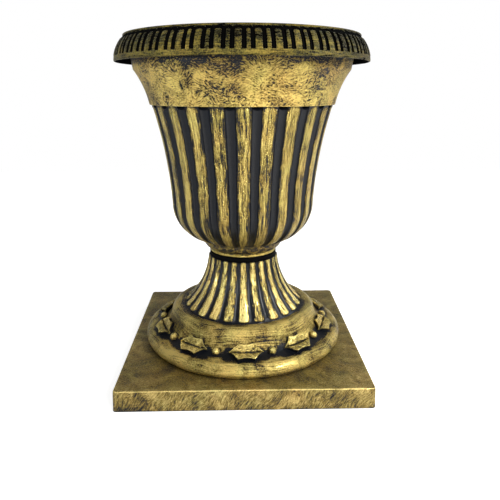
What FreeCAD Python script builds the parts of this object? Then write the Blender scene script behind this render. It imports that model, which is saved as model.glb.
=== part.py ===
"""Urn planter: a fluted bowl that twist-locks onto a reeded pedestal with a square plinth.

Frame: origin at the ground under the middle of the plinth, +Z up, the front towards -Y, millimetres.
Each of the two mouldings is drawn with its front on its own X axis and turned to the front by its Placement.
"""
import FreeCAD, Part
import math
import os
import Sketcher

doc = FreeCAD.newDocument("urn_planter")

# Driving dimensions in millimetres, angles in degrees, counts and shares as plain numbers
driving = {
    # Plinth and its feet
    "plinth_side": 294.0,
    "plinth_height": 24.5,
    "plinth_corner": 4.0,
    "plinth_edge": 1.8,
    "plinth_taper": 1.5,
    "plinth_wall": 3.2,
    "foot_stand": 1.0,
    "pad_thickness": 2.0,
    "pad_radius": 8.0,
    "post_radius": 11.0,
    "post_inset": 19.0,
    # Round base: torus, leaf cove and shoulder
    "torus_radius": 129.5,
    "torus_round": 9.3,
    "torus_lift": 8.8,
    "cove_top_radius": 97.0,
    "cove_height": 12.9,
    "cove_arc": 30.0,
    "shoulder_radius": 95.0,
    "shoulder_rise": 7.6,
    "shoulder_round": 9.0,
    "shoulder_top_radius": 86.0,
    "shoulder_top_rise": 7.5,
    "reed_step": 1.4,
    # Reeded stem and neck
    "reed_rise": 66.5,
    "neck_radius": 45.0,
    "stem_arc": 97.0,
    "stem_lift": 7.0,
    "reed_count": 24,
    "reed_groove_top": 4.2,
    "reed_groove_foot": 6.8,
    "reed_groove_depth": 2.2,
    "collar_radius": 43.4,
    "collar_height": 5.0,
    "pedestal_wall": 3.2,
    "deck_thickness": 4.0,
    # Leaf-and-berry band
    "leaf_count": 10,
    "leaf_length": 40.0,
    "leaf_width": 20.0,
    "leaf_edge_arc": 20.0,
    "leaf_proud": 3.4,
    "leaf_root": 2.7,
    "leaf_lift": 0.6,
    "berry_radius": 4.7,
    # Twist lock between bowl and pedestal
    "seat_gap": 0.3,
    "lug_count": 3,
    "spigot_radius": 31.0,
    "spigot_wall": 3.0,
    "spigot_drop": 20.0,
    "spigot_clearance": 0.5,
    "lug_reach": 6.0,
    "lug_height": 5.0,
    "lug_spread": 30.0,
    "lug_clearance": 0.6,
    "lock_turn": 45.0,
    "lock_slack": 2.0,
    # Bowl: foot ring, belly and fluted body
    "foot_radius": 42.9,
    "foot_height": 4.0,
    "foot_wall": 3.0,
    "bead_radius": 50.0,
    "bead_height": 12.5,
    "bead_round": 10.0,
    "flute_foot_radius": 54.0,
    "belly_arc": 50.0,
    "waist_radius": 90.4,
    "body_height": 121.5,
    "body_arc": 520.0,
    "body_drop": 25.0,
    "flute_count": 24,
    "flute_width_top": 12.2,
    "flute_width_waist": 10.0,
    "flute_width_foot": 5.0,
    "flute_depth": 3.2,
    "flute_depth_foot": 1.6,
    "bowl_wall": 2.8,
    "floor_thickness": 4.5,
    # Bowl: flared band and turned-down ribbed rim
    "band_step": 2.8,
    "band_height": 40.5,
    "band_top_radius": 131.0,
    "band_arc": 107.0,
    "rim_radius": 152.5,
    "rim_height": 79.2,
    "rim_arc": 39.0,
    "skirt_height": 30.2,
    "skirt_wall": 2.8,
    "lip_height": 2.6,
    "lip_thickness": 4.5,
    "lip_inner_radius": 134.5,
    "rib_count": 48,
    "rib_groove": 4.3,
    "rib_narrow": 4.2,
    "rib_depth": 1.3,
    "rib_band": 6.4,
    # Drain holes and their plugs
    "drain_count": 4,
    "drain_radius": 6.0,
    "drain_circle": 17.0,
    "plug_clearance": 0.3,
    "plug_head_radius": 8.6,
    "plug_head_height": 3.0,
    "plug_crown": 1.2,
    "plug_tip": 4.0,
    "plug_taper": 1.2,
    # How far a cut runs past the face that it opens
    "overrun": 2.0,
}

# Leaf outline from tip to tip along one edge, as shares of its half length and half width
leaf_shares = ((1.0, 0.0), (0.45, 1.0), (-0.45, 1.0), (-1.0, 0.0))
# Which way each corner of the square plinth lies from its middle
plinth_corners = ((1, 1), (-1, 1), (-1, -1), (1, -1))
# Where the channel sections stand: shares of the flared body's height, the belly's quarter turn and the stem's height
body_shares = (1.0, 0.5, 0.0)
belly_shares = (0.42, 0.8)
reed_shares = (0.0, 0.35, 0.7, 1.0)

sheet = doc.addObject("Spreadsheet::Sheet", "Sizes")
for row, (name, value) in enumerate(driving.items(), start=1):
    sheet.set("A%d" % row, name)
    sheet.set("B%d" % row, str(value))
    sheet.setAlias("B%d" % row, name)
doc.recompute()


class Size:
    """A number together with the sheet formula that it comes from."""

    def __init__(self, value, formula=None):
        self.value = float(value)
        self.formula = repr(float(value)) if formula is None else formula

    def __add__(self, other):
        other = as_size(other)
        return Size(self.value + other.value, "(%s + %s)" % (self.formula, other.formula))

    def __sub__(self, other):
        other = as_size(other)
        return Size(self.value - other.value, "(%s - %s)" % (self.formula, other.formula))

    def __mul__(self, other):
        other = as_size(other)
        return Size(self.value * other.value, "(%s * %s)" % (self.formula, other.formula))

    def __truediv__(self, other):
        other = as_size(other)
        return Size(self.value / other.value, "(%s / %s)" % (self.formula, other.formula))

    def __neg__(self):
        return Size(-self.value, "(0 - %s)" % self.formula)


def as_size(number):
    return number if isinstance(number, Size) else Size(number)


def root(size):
    return Size(math.sqrt(size.value), "sqrt(%s)" % size.formula)


def cosine(degrees):
    return Size(math.cos(math.radians(degrees.value)), "cos(%s)" % degrees.formula)


def sine(degrees):
    return Size(math.sin(math.radians(degrees.value)), "sin(%s)" % degrees.formula)


def slope_angle(rise, run):
    """The angle in degrees whose tangent is rise over run."""
    degrees = math.degrees(math.atan(rise.value / run.value))
    return Size(degrees, "(atan(%s / %s) / 1 deg)" % (rise.formula, run.formula))


def lean(side, arc):
    """The other side of a right-angled triangle: how far along an arc's radius a height reaches."""
    return root(arc * arc - side * side)


class SheetSizes:
    """Gives each driving dimension of the sheet as a Size."""

    def __getattr__(self, name):
        return Size(driving[name], "Sizes." + name)


d = SheetSizes()
zero = Size(0)

# Levels above the ground
plinth_top = d.foot_stand + d.plinth_height
plate_under = plinth_top - d.plinth_wall
torus_level = plinth_top + d.torus_lift
cove_foot = torus_level + d.torus_round
cove_top = cove_foot + d.cove_height
shoulder_level = cove_top + d.shoulder_rise
shoulder_top = shoulder_level + d.shoulder_top_rise
reed_foot = shoulder_top + d.reed_step
collar_foot = reed_foot + d.reed_rise
deck_top = collar_foot + d.collar_height
deck_under = deck_top - d.deck_thickness
bowl_seat = deck_top + d.seat_gap
foot_top = bowl_seat + d.foot_height
flute_foot = foot_top + d.bead_height
belly_centre_radius = d.waist_radius - d.belly_arc
waist_level = flute_foot + lean(d.flute_foot_radius - belly_centre_radius, d.belly_arc)
flute_top = waist_level + d.body_height
band_top = flute_top + d.band_height
rim_top = flute_top + d.rim_height
skirt_foot = rim_top - d.skirt_height
fold_level = rim_top - d.lip_thickness

# Curves that several features follow
torus_centre_radius = d.torus_radius - d.torus_round
torus_foot_radius = torus_centre_radius + lean(d.torus_lift, d.torus_round)
stem_centre_level = collar_foot + d.stem_lift
stem_centre_radius = d.neck_radius + lean(d.stem_lift, d.stem_arc)
reed_foot_radius = stem_centre_radius - lean(stem_centre_level - reed_foot, d.stem_arc)
body_centre_level = waist_level - d.body_drop
body_centre_radius = d.waist_radius + lean(d.body_drop, d.body_arc)
flute_top_radius = body_centre_radius - lean(flute_top - body_centre_level, d.body_arc)
band_foot_radius = flute_top_radius + d.band_step
rim_centre_radius = d.rim_radius - d.rim_arc
fluted_wall = d.flute_depth + d.bowl_wall
reeded_wall = d.reed_groove_depth + d.pedestal_wall
inner_belly_arc = d.belly_arc - fluted_wall
floor_under = flute_foot
floor_top = floor_under + d.floor_thickness


def plane_of(body, role):
    return next(f for f in body.Origin.OriginFeatures if f.Role == role)


def bind(owner, path, size):
    owner.setExpression(path, size.formula)


def half_pitch_plane(body, name, count):
    """A level plane turned by half a pitch, so that what lies between the repeated cuts faces the front."""
    plane = body.newObject("PartDesign::Plane", name)
    plane.AttachmentSupport = [(plane_of(body, "XY_Plane"), "")]
    plane.MapMode = "FlatFace"
    half_pitch = Size(180) / count
    turn = FreeCAD.Rotation(FreeCAD.Vector(0, 0, 1), half_pitch.value)
    plane.AttachmentOffset = FreeCAD.Placement(FreeCAD.Vector(0, 0, 0), turn)
    bind(plane, "AttachmentOffset.Rotation.Angle", half_pitch)
    return plane


def new_sketch(body, name, plane, base=(zero, zero, zero), tilt=None):
    """A sketch on one of the body's own planes, moved by base and tilted about the plane's Y axis."""
    sketch = body.newObject("Sketcher::SketchObject", name)
    support = plane_of(body, plane) if isinstance(plane, str) else plane
    sketch.AttachmentSupport = [(support, "")]
    sketch.MapMode = "FlatFace"
    turn = FreeCAD.Rotation(FreeCAD.Vector(0, 1, 0), tilt.value if tilt else 0)
    sketch.AttachmentOffset = FreeCAD.Placement(FreeCAD.Vector(*[b.value for b in base]), turn)
    for axis, size in zip("xyz", base):
        if size is not zero:
            bind(sketch, "AttachmentOffset.Base." + axis, size)
    if tilt:
        bind(sketch, "AttachmentOffset.Rotation.Angle", tilt)
    return sketch


def line(x, y):
    return (x, y, None, 0)


def left_arc(x, y, radius):
    """An arc to (x, y) that turns left, with its centre on the left of the way along it."""
    return (x, y, radius, 1)


def right_arc(x, y, radius):
    return (x, y, radius, -1)


def arc_centre(start, end, radius, side):
    chord = end - start
    across = FreeCAD.Vector(-chord.y, chord.x, 0).normalize()
    return (start + end) * 0.5 + across * side * math.sqrt(radius ** 2 - (chord.Length / 2) ** 2)


def outline(sketch, *steps):
    """Draws a closed outline of lines and arcs whose corners and radii follow the sheet."""
    corners = [FreeCAD.Vector(x.value, y.value, 0) for x, y, radius, side in steps]
    geometry = []
    ends = []
    for index, (x, y, radius, side) in enumerate(steps):
        start, end = corners[index - 1], corners[index]
        if radius is None:
            geometry.append(Part.LineSegment(start, end))
            ends.append((1, 2))
            continue
        centre = arc_centre(start, end, radius.value, side)
        first, last = (start, end) if side > 0 else (end, start)
        angles = [math.atan2(p.y - centre.y, p.x - centre.x) for p in (first, last)]
        circle = Part.Circle(centre, FreeCAD.Vector(0, 0, 1), radius.value)
        geometry.append(Part.ArcOfCircle(circle, angles[0], angles[1]))
        ends.append((1, 2) if side > 0 else (2, 1))
    sketch.addGeometry(geometry)
    constraints = []
    bindings = []
    for index, (x, y, radius, side) in enumerate(steps):
        following = (index + 1) % len(steps)
        constraints.append(Sketcher.Constraint("Coincident", index, ends[index][1], following, ends[following][0]))
        for kind, size, axis in (("DistanceX", x, -2), ("DistanceY", y, -1)):
            if size is zero:
                constraints.append(Sketcher.Constraint("PointOnObject", index, ends[index][1], axis))
            else:
                bindings.append((len(constraints), size))
                constraints.append(Sketcher.Constraint(kind, index, ends[index][1], size.value))
        if radius is not None:
            bindings.append((len(constraints), radius))
            constraints.append(Sketcher.Constraint("Radius", index, radius.value))
    sketch.addConstraint(constraints)
    for number, size in bindings:
        bind(sketch, "Constraints[%d]" % number, size)


def circle_at(sketch, x, y, radius):
    """Draws one circle whose centre and radius follow the sheet."""
    centre = FreeCAD.Vector(x.value, y.value, 0)
    sketch.addGeometry(Part.Circle(centre, FreeCAD.Vector(0, 0, 1), radius.value))
    constraints = []
    bindings = []
    for kind, size, axis in (("DistanceX", x, -2), ("DistanceY", y, -1)):
        if size is zero:
            constraints.append(Sketcher.Constraint("PointOnObject", 0, 3, axis))
        else:
            bindings.append((len(constraints), size))
            constraints.append(Sketcher.Constraint(kind, 0, 3, size.value))
    bindings.append((len(constraints), radius))
    constraints.append(Sketcher.Constraint("Radius", 0, radius.value))
    sketch.addConstraint(constraints)
    for number, size in bindings:
        bind(sketch, "Constraints[%d]" % number, size)


def sector(sketch, inner, outer, middle, spread):
    """Draws a piece of a flat ring about the origin, centred on the angle middle."""
    first = middle - spread / 2
    last = middle + spread / 2
    outline(
        sketch,
        right_arc(inner * cosine(first), inner * sine(first), inner),
        line(outer * cosine(first), outer * sine(first)),
        left_arc(outer * cosine(last), outer * sine(last), outer),
        line(inner * cosine(last), inner * sine(last)),
    )


def new_body(label):
    body = doc.addObject("PartDesign::Body", label)
    body.Label = label
    return body


def turned(body, kind, name, sketch):
    """A revolution or a groove about the body's upright axis."""
    feature = body.newObject("PartDesign::" + kind, name)
    feature.Profile = sketch
    feature.ReferenceAxis = (sketch, ["V_Axis"])
    feature.Angle = 360
    return feature


def extruded(body, kind, name, sketch, length, both_ways=False, backwards=False):
    """A pad or a pocket of a given length."""
    feature = body.newObject("PartDesign::" + kind, name)
    feature.Profile = sketch
    bind(feature, "Length", length)
    feature.Midplane = both_ways
    feature.Reversed = backwards
    return feature


def repeated(body, name, features, count):
    """Copies features round the body's upright axis."""
    pattern = body.newObject("PartDesign::PolarPattern", name)
    pattern.Originals = features
    pattern.Axis = (plane_of(body, "Z_Axis"), [""])
    pattern.Angle = 360
    bind(pattern, "Occurrences", count)
    body.Tip = pattern
    return pattern


def channel_section(body, name, plane, radius, level, tilt, width, depth):
    """One round section of a channel that is width wide and depth deep in the surface at (radius, level)."""
    bow = (width * width / 4 + depth * depth) / (depth * 2)
    sketch = new_sketch(body, name, plane, (radius, zero, level), tilt)
    circle_at(sketch, bow - depth, zero, bow)
    return sketch


def channel(body, name, sections):
    """Cuts a channel that runs smoothly through its sections."""
    loft = body.newObject("PartDesign::SubtractiveLoft", name)
    loft.Profile = sections[0]
    loft.Sections = sections[1:]
    return loft


def highest_face(feature):
    doc.recompute()
    faces = feature.Shape.Faces
    best = max(range(len(faces)), key=lambda i: faces[i].CenterOfMass.z)
    return "Face%d" % (best + 1)


def face_front(body):
    """Turns a moulding so that its own X axis points to the front."""
    body.Placement = FreeCAD.Placement(FreeCAD.Vector(0, 0, 0), FreeCAD.Rotation(FreeCAD.Vector(0, 0, 1), -90))


def square(sketch, half, corner):
    """Draws a square with rounded corners about the origin."""
    flat = half - corner
    outline(
        sketch,
        line(flat, -half),
        left_arc(half, -flat, corner),
        line(half, flat),
        left_arc(flat, half, corner),
        line(-flat, half),
        left_arc(-half, flat, corner),
        line(-half, -flat),
        left_arc(-flat, -half, corner),
    )


def make_plinth(body):
    """The solid square slab with its slight draft and softened top edge."""
    sketch = new_sketch(body, "plinth_outline", "XY_Plane", (zero, zero, d.foot_stand))
    square(sketch, d.plinth_side / 2, d.plinth_corner)
    slab = extruded(body, "Pad", "plinth", sketch, d.plinth_height)
    bind(slab, "TaperAngle", -d.plinth_taper)
    edge = body.newObject("PartDesign::Fillet", "plinth_edge_round")
    edge.Base = (slab, [highest_face(slab)])
    bind(edge, "Radius", d.plinth_edge)


def make_round_base(body):
    """Torus, leaf cove, shoulder, stem and neck as one turned form."""
    sketch = new_sketch(body, "base_profile", "XZ_Plane")
    outline(
        sketch,
        line(zero, plinth_top - d.plinth_wall / 2),
        line(torus_foot_radius, plinth_top - d.plinth_wall / 2),
        line(torus_foot_radius, plinth_top),
        left_arc(d.torus_radius, torus_level, d.torus_round),
        left_arc(torus_centre_radius, cove_foot, d.torus_round),
        right_arc(d.cove_top_radius, cove_top, d.cove_arc),
        line(d.shoulder_radius, shoulder_level),
        left_arc(d.shoulder_top_radius, shoulder_top, d.shoulder_round),
        line(reed_foot_radius + d.reed_step, shoulder_top),
        line(reed_foot_radius, reed_foot),
        right_arc(d.neck_radius, collar_foot, d.stem_arc),
        line(d.collar_radius, collar_foot),
        line(d.collar_radius, deck_top),
        line(zero, deck_top),
    )
    turned(body, "Revolution", "round_base", sketch)


def stem_section(body, name, plane, share):
    """A groove section on the stem's arc, at a share of the way down from the collar."""
    level = collar_foot - d.reed_rise * share
    below = stem_centre_level - level
    radius = stem_centre_radius - lean(below, d.stem_arc)
    tilt = slope_angle(-below, lean(below, d.stem_arc)) if share else None
    width = d.reed_groove_top + (d.reed_groove_foot - d.reed_groove_top) * share
    return channel_section(body, name, plane, radius, level, tilt, width, d.reed_groove_depth)


def make_reeds(body):
    """Narrow grooves that leave the stem's rounded reeds between them."""
    plane = half_pitch_plane(body, "reed_plane", d.reed_count)
    sections = []
    for number, share in enumerate(reed_shares, start=1):
        sections.append(stem_section(body, "reed_groove_section_%d" % number, plane, share))
    groove = channel(body, "reed_groove", sections)
    repeated(body, "reeds", [groove], d.reed_count)


def leaf_middle():
    """Where the leaf band's middle lies, a little above the cove's: its radius, level and slope."""
    run = torus_centre_radius - d.cove_top_radius
    half_chord = root(run * run + d.cove_height * d.cove_height) / 2
    slope = slope_angle(d.cove_height, run)
    hollow = d.cove_arc - lean(half_chord, d.cove_arc)
    radius = d.cove_top_radius + run / 2 - hollow * sine(slope) - d.leaf_lift * cosine(slope)
    level = cove_foot + d.cove_height / 2 - hollow * cosine(slope) + d.leaf_lift * sine(slope)
    return radius, level, slope


def make_leaf_band(body):
    """Leaves lying along the cove with a berry between each two."""
    radius, level, slope = leaf_middle()
    half_pitch = Size(180) / d.leaf_count
    berry = body.newObject("PartDesign::AdditiveSphere", "berry")
    berry.AttachmentSupport = [(plane_of(body, "XY_Plane"), "")]
    berry.MapMode = "FlatFace"
    for axis, size in zip("xyz", (radius * cosine(half_pitch), radius * sine(half_pitch), level)):
        bind(berry, "AttachmentOffset.Base." + axis, size)
    bind(berry, "Radius", d.berry_radius)
    repeated(body, "berries", [berry], d.leaf_count)
    base = (radius - d.leaf_root * sine(slope), zero, level - d.leaf_root * cosine(slope))
    sketch = new_sketch(body, "leaf_outline", "XY_Plane", base, slope)
    half_length = d.leaf_length / 2
    half_width = d.leaf_width / 2
    edge = [(half_width * across, half_length * along) for along, across in leaf_shares]
    other_edge = [(half_width * -across, half_length * -along) for along, across in leaf_shares]
    corners = edge[1:] + other_edge[1:]
    outline(sketch, *[left_arc(x, y, d.leaf_edge_arc) for x, y in corners])
    leaf = extruded(body, "Pad", "leaf", sketch, d.leaf_root + d.leaf_proud)
    repeated(body, "leaves", [leaf], d.leaf_count)


def make_pedestal_hollow(body):
    """The hollow of the moulding: inside the stem and base, and under the plinth."""
    wall = d.pedestal_wall
    sketch = new_sketch(body, "hollow_profile", "XZ_Plane")
    outline(
        sketch,
        line(zero, plate_under - d.overrun),
        line(torus_foot_radius - wall, plate_under - d.overrun),
        line(torus_foot_radius - wall, plinth_top),
        line(d.torus_radius - wall, torus_level),
        left_arc(torus_centre_radius, cove_foot - wall, d.torus_round - wall),
        right_arc(d.cove_top_radius - wall, cove_top - wall, d.cove_arc + wall),
        line(d.shoulder_radius - wall, shoulder_level),
        line(d.shoulder_top_radius - wall, shoulder_top - wall),
        line(reed_foot_radius - wall, reed_foot - reeded_wall),
        right_arc(d.neck_radius - reeded_wall, collar_foot, d.stem_arc + reeded_wall),
        line(d.collar_radius - wall, deck_under),
        line(zero, deck_under),
    )
    turned(body, "Groove", "stem_hollow", sketch)
    sketch = new_sketch(body, "plinth_hollow_outline", "XY_Plane", (zero, zero, d.foot_stand - d.overrun))
    square(sketch, d.plinth_side / 2 - d.plinth_wall, d.plinth_corner)
    extruded(body, "Pocket", "plinth_hollow", sketch, plate_under - d.foot_stand + d.overrun, backwards=True)


def post_place():
    return d.plinth_side / 2 - d.post_inset


def make_posts(body):
    """Corner posts under the plinth's plate that carry the foot pads."""
    sketch = new_sketch(body, "post_outline", "XY_Plane", (zero, zero, d.pad_thickness))
    circle_at(sketch, post_place(), post_place(), d.post_radius)
    post = extruded(body, "Pad", "post", sketch, plate_under + d.plinth_wall / 2 - d.pad_thickness)
    repeated(body, "posts", [post], Size(len(plinth_corners)))


def make_lock_deck(body):
    """The deck's opening with its lug notches, and the stops under the deck."""
    opening = d.spigot_radius + d.spigot_clearance
    notch_reach = d.spigot_radius + d.lug_reach + d.lug_clearance
    sketch = new_sketch(body, "deck_opening_outline", "XY_Plane", (zero, zero, deck_top))
    circle_at(sketch, zero, zero, opening)
    extruded(body, "Pocket", "deck_opening", sketch, d.deck_thickness + d.overrun)
    sketch = new_sketch(body, "notch_outline", "XY_Plane", (zero, zero, deck_top))
    sector(sketch, opening - d.overrun, notch_reach, d.lock_turn, d.lug_spread + d.lock_slack * 2)
    notch = extruded(body, "Pocket", "notch", sketch, d.deck_thickness + d.overrun)
    repeated(body, "notches", [notch], d.lug_count)
    free = d.lug_spread / 2 + d.lock_slack
    pitch = Size(360) / d.lug_count
    sketch = new_sketch(body, "stop_outline", "XY_Plane", (zero, zero, deck_under - d.lug_height))
    middle = (d.lock_turn + pitch) / 2
    sector(sketch, opening + d.lug_clearance, d.collar_radius - d.pedestal_wall / 2, middle,
           pitch - d.lock_turn - free * 2)
    stop = extruded(body, "Pad", "stop", sketch, d.lug_height + d.deck_thickness / 2)
    repeated(body, "stops", [stop], d.lug_count)


def make_pedestal():
    body = new_body("pedestal")
    make_plinth(body)
    make_round_base(body)
    make_reeds(body)
    make_leaf_band(body)
    make_pedestal_hollow(body)
    make_posts(body)
    make_lock_deck(body)
    face_front(body)
    return body


def make_bowl_shell(body):
    """The bowl's whole section: rim, band, fluted body, belly, foot ring, spigot and floor."""
    wall = d.bowl_wall
    inner_rim_arc = d.rim_arc - d.skirt_wall
    spigot_foot = bowl_seat - d.spigot_drop
    spigot_bore = d.spigot_radius - d.spigot_wall
    foot_bore = d.foot_radius - d.foot_wall
    rib_head = rim_top - d.lip_height
    sketch = new_sketch(body, "bowl_profile", "XZ_Plane")
    outline(
        sketch,
        line(d.lip_inner_radius, rim_top),
        line(rim_centre_radius + lean(rib_head - skirt_foot, d.rim_arc), rim_top),
        line(rim_centre_radius + lean(rib_head - skirt_foot, d.rim_arc), rib_head),
        right_arc(d.rim_radius, skirt_foot, d.rim_arc),
        line(d.rim_radius - d.skirt_wall, skirt_foot),
        left_arc(rim_centre_radius + lean(fold_level - skirt_foot, inner_rim_arc), fold_level, inner_rim_arc),
        line(d.lip_inner_radius + wall, fold_level),
        line(d.band_top_radius, band_top),
        left_arc(band_foot_radius, flute_top, d.band_arc),
        line(flute_top_radius, flute_top),
        left_arc(d.waist_radius, waist_level, d.body_arc),
        right_arc(d.flute_foot_radius, flute_foot, d.belly_arc),
        line(d.bead_radius, flute_foot),
        right_arc(d.foot_radius, foot_top, d.bead_round),
        line(d.foot_radius, bowl_seat),
        line(foot_bore, bowl_seat),
        line(foot_bore, foot_top),
        line(d.bead_radius - d.foot_wall, floor_under),
        line(d.spigot_radius, floor_under),
        line(d.spigot_radius, spigot_foot),
        line(spigot_bore, spigot_foot),
        line(spigot_bore, floor_under),
        line(zero, floor_under),
        line(zero, floor_top),
        line(belly_centre_radius + lean(waist_level - floor_top, inner_belly_arc), floor_top),
        left_arc(d.waist_radius - fluted_wall, waist_level, inner_belly_arc),
        right_arc(flute_top_radius - fluted_wall, flute_top, d.body_arc + fluted_wall),
        right_arc(d.band_top_radius - wall, band_top, d.band_arc + wall),
    )
    turned(body, "Revolution", "bowl_shell", sketch)


def belly_section(body, name, plane, share):
    """A flute section round the belly, at a share of its quarter turn."""
    turn = Size(90) * share
    radius = belly_centre_radius + d.belly_arc * cosine(turn)
    level = waist_level - d.belly_arc * sine(turn)
    width = d.flute_width_waist + (d.flute_width_foot - d.flute_width_waist) * share
    depth = d.flute_depth + (d.flute_depth_foot - d.flute_depth) * share
    return channel_section(body, name, plane, radius, level, turn, width, depth)


def body_section(body, name, plane, share):
    """A flute section on the flared body, at a share of the height from the waist to the band, level at the band."""
    level = waist_level + d.body_height * share
    above = level - body_centre_level
    radius = body_centre_radius - lean(above, d.body_arc)
    tilt = slope_angle(above, lean(above, d.body_arc)) if share < 1 else None
    width = d.flute_width_waist + (d.flute_width_top - d.flute_width_waist) * share
    return channel_section(body, name, plane, radius, level, tilt, width, d.flute_depth)


def make_flutes(body):
    """Hollow flutes from under the band, down the body and round the belly to the foot ring."""
    plane = half_pitch_plane(body, "flute_plane", d.flute_count)
    sections = []
    for number, share in enumerate(body_shares, start=1):
        sections.append(body_section(body, "flute_body_%d" % number, plane, share))
    for number, share in enumerate(belly_shares, start=1):
        sections.append(belly_section(body, "flute_belly_%d" % number, plane, share))
    flute = channel(body, "flute", sections)
    repeated(body, "flutes", [flute], d.flute_count)


def make_rim_ribs(body):
    """Pairs of grooves across the turned-down rim, which leave a wide and a narrow rib by turns."""
    top = rim_top - d.lip_height
    foot = skirt_foot + d.rib_band
    outside = d.rim_arc + d.overrun
    inside = d.rim_arc - d.rib_depth
    pair_turn = (d.rib_groove + d.rib_narrow) / d.rim_radius * (180 / math.pi)
    grooves = []
    for number, turn in enumerate((None, pair_turn), start=1):
        sketch = new_sketch(body, "rib_groove_outline_%d" % number, "XZ_Plane", tilt=turn)
        outline(
            sketch,
            right_arc(rim_centre_radius + lean(foot - skirt_foot, inside), foot, inside),
            line(rim_centre_radius + lean(foot - skirt_foot, outside), foot),
            left_arc(rim_centre_radius + lean(top - skirt_foot, outside), top, outside),
            line(rim_centre_radius + lean(top - skirt_foot, inside), top),
        )
        grooves.append(extruded(body, "Pocket", "rib_groove_%d" % number, sketch, d.rib_groove, both_ways=True))
    repeated(body, "rim_ribs", grooves, d.rib_count)


def drain_angle(number):
    return Size(360) / d.drain_count * (number + 0.5)


def make_drains(body):
    """Drain holes through the floor, inside the spigot."""
    sketch = new_sketch(body, "drain_outline", "XY_Plane", (zero, zero, floor_top))
    angle = drain_angle(0)
    circle_at(sketch, d.drain_circle * cosine(angle), d.drain_circle * sine(angle), d.drain_radius)
    drain = extruded(body, "Pocket", "drain", sketch, d.floor_thickness + d.overrun)
    repeated(body, "drains", [drain], d.drain_count)


def make_lugs(body):
    """Lugs on the spigot that turn under the pedestal's deck."""
    level = deck_under - d.seat_gap - d.lug_height
    sketch = new_sketch(body, "lug_outline", "XY_Plane", (zero, zero, level))
    sector(sketch, d.spigot_radius - d.spigot_wall / 2, d.spigot_radius + d.lug_reach, zero, d.lug_spread)
    lug = extruded(body, "Pad", "lug", sketch, d.lug_height)
    repeated(body, "lugs", [lug], d.lug_count)


def make_bowl():
    body = new_body("bowl")
    make_bowl_shell(body)
    make_flutes(body)
    make_rim_ribs(body)
    make_drains(body)
    make_lugs(body)
    face_front(body)
    return body


def make_drain_plug(number):
    """A push-in plug: a low domed head on the floor and a tapered stem through the drain hole."""
    body = new_body("drain_plug_%d" % (number + 1))
    stem = d.drain_radius - d.plug_clearance
    stem_foot = -(d.floor_thickness + d.plug_tip + d.seat_gap)
    dome = (d.plug_head_radius * d.plug_head_radius + d.plug_crown * d.plug_crown) / (d.plug_crown * 2)
    sketch = new_sketch(body, "plug_profile", "XZ_Plane")
    outline(
        sketch,
        line(zero, stem_foot),
        line(stem - d.plug_taper, stem_foot),
        line(stem, stem_foot + d.plug_tip),
        line(stem, zero),
        line(d.plug_head_radius, zero),
        line(d.plug_head_radius, d.plug_head_height - d.plug_crown),
        left_arc(zero, d.plug_head_height, dome),
    )
    turned(body, "Revolution", "plug", sketch)
    angle = drain_angle(number)
    place = (d.drain_circle * cosine(angle), d.drain_circle * sine(angle), floor_top + d.seat_gap)
    for axis, size in zip("xyz", place):
        bind(body, "Placement.Base." + axis, size)
    return body


def make_foot_pad(number, corner):
    """A round soft pad under one corner post."""
    body = new_body("foot_pad_%d" % (number + 1))
    sketch = new_sketch(body, "pad_outline", "XY_Plane")
    circle_at(sketch, zero, zero, d.pad_radius)
    extruded(body, "Pad", "pad", sketch, d.pad_thickness)
    for axis, side in zip("xy", corner):
        bind(body, "Placement.Base." + axis, post_place() * side)
    return body


def check_and_write(bodies):
    """Stops on any failed feature or broken solid, then writes each piece to its own file."""
    doc.recompute()
    for thing in doc.Objects:
        if "Invalid" in thing.State or "Error" in thing.State:
            raise RuntimeError("%s failed: %s" % (thing.Label, thing.State))
    os.makedirs("parts", exist_ok=True)
    for body in bodies:
        shape = body.Shape
        if shape.isNull() or not shape.isValid() or len(shape.Solids) != 1:
            raise RuntimeError("%s has no single valid solid" % body.Label)
        shape.exportStep("parts/%s.step" % body.Label)
        print("%s: %.1f cm3" % (body.Label, shape.Volume / 1000))


pieces = [make_pedestal(), make_bowl()]
pieces += [make_drain_plug(number) for number in range(driving["drain_count"])]
pieces += [make_foot_pad(number, corner) for number, corner in enumerate(plinth_corners)]
check_and_write(pieces)
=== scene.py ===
import math

import bmesh
import bpy
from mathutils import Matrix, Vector


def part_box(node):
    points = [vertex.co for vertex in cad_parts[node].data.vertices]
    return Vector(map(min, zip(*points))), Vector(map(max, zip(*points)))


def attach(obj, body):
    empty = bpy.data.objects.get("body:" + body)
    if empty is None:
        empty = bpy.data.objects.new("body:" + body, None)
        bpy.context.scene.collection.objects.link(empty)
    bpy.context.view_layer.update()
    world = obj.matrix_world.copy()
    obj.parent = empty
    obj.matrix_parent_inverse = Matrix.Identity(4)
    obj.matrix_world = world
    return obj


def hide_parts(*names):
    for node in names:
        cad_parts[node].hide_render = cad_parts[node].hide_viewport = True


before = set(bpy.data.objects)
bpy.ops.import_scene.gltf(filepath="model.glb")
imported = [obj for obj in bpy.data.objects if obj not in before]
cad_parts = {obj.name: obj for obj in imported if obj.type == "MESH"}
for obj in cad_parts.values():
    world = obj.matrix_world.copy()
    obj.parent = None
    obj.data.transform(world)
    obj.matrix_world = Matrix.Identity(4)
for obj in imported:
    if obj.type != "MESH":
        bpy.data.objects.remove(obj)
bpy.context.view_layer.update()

scene = bpy.context.scene


# small helpers

def linearColour(hexText):
    # sRGB hex text to the linear RGBA that a shader socket takes
    parts = [int(hexText[i:i + 2], 16) / 255 for i in (1, 3, 5)]
    return [p / 12.92 if p <= 0.04045 else ((p + 0.055) / 1.055) ** 2.4 for p in parts] + [1.0]


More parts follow.
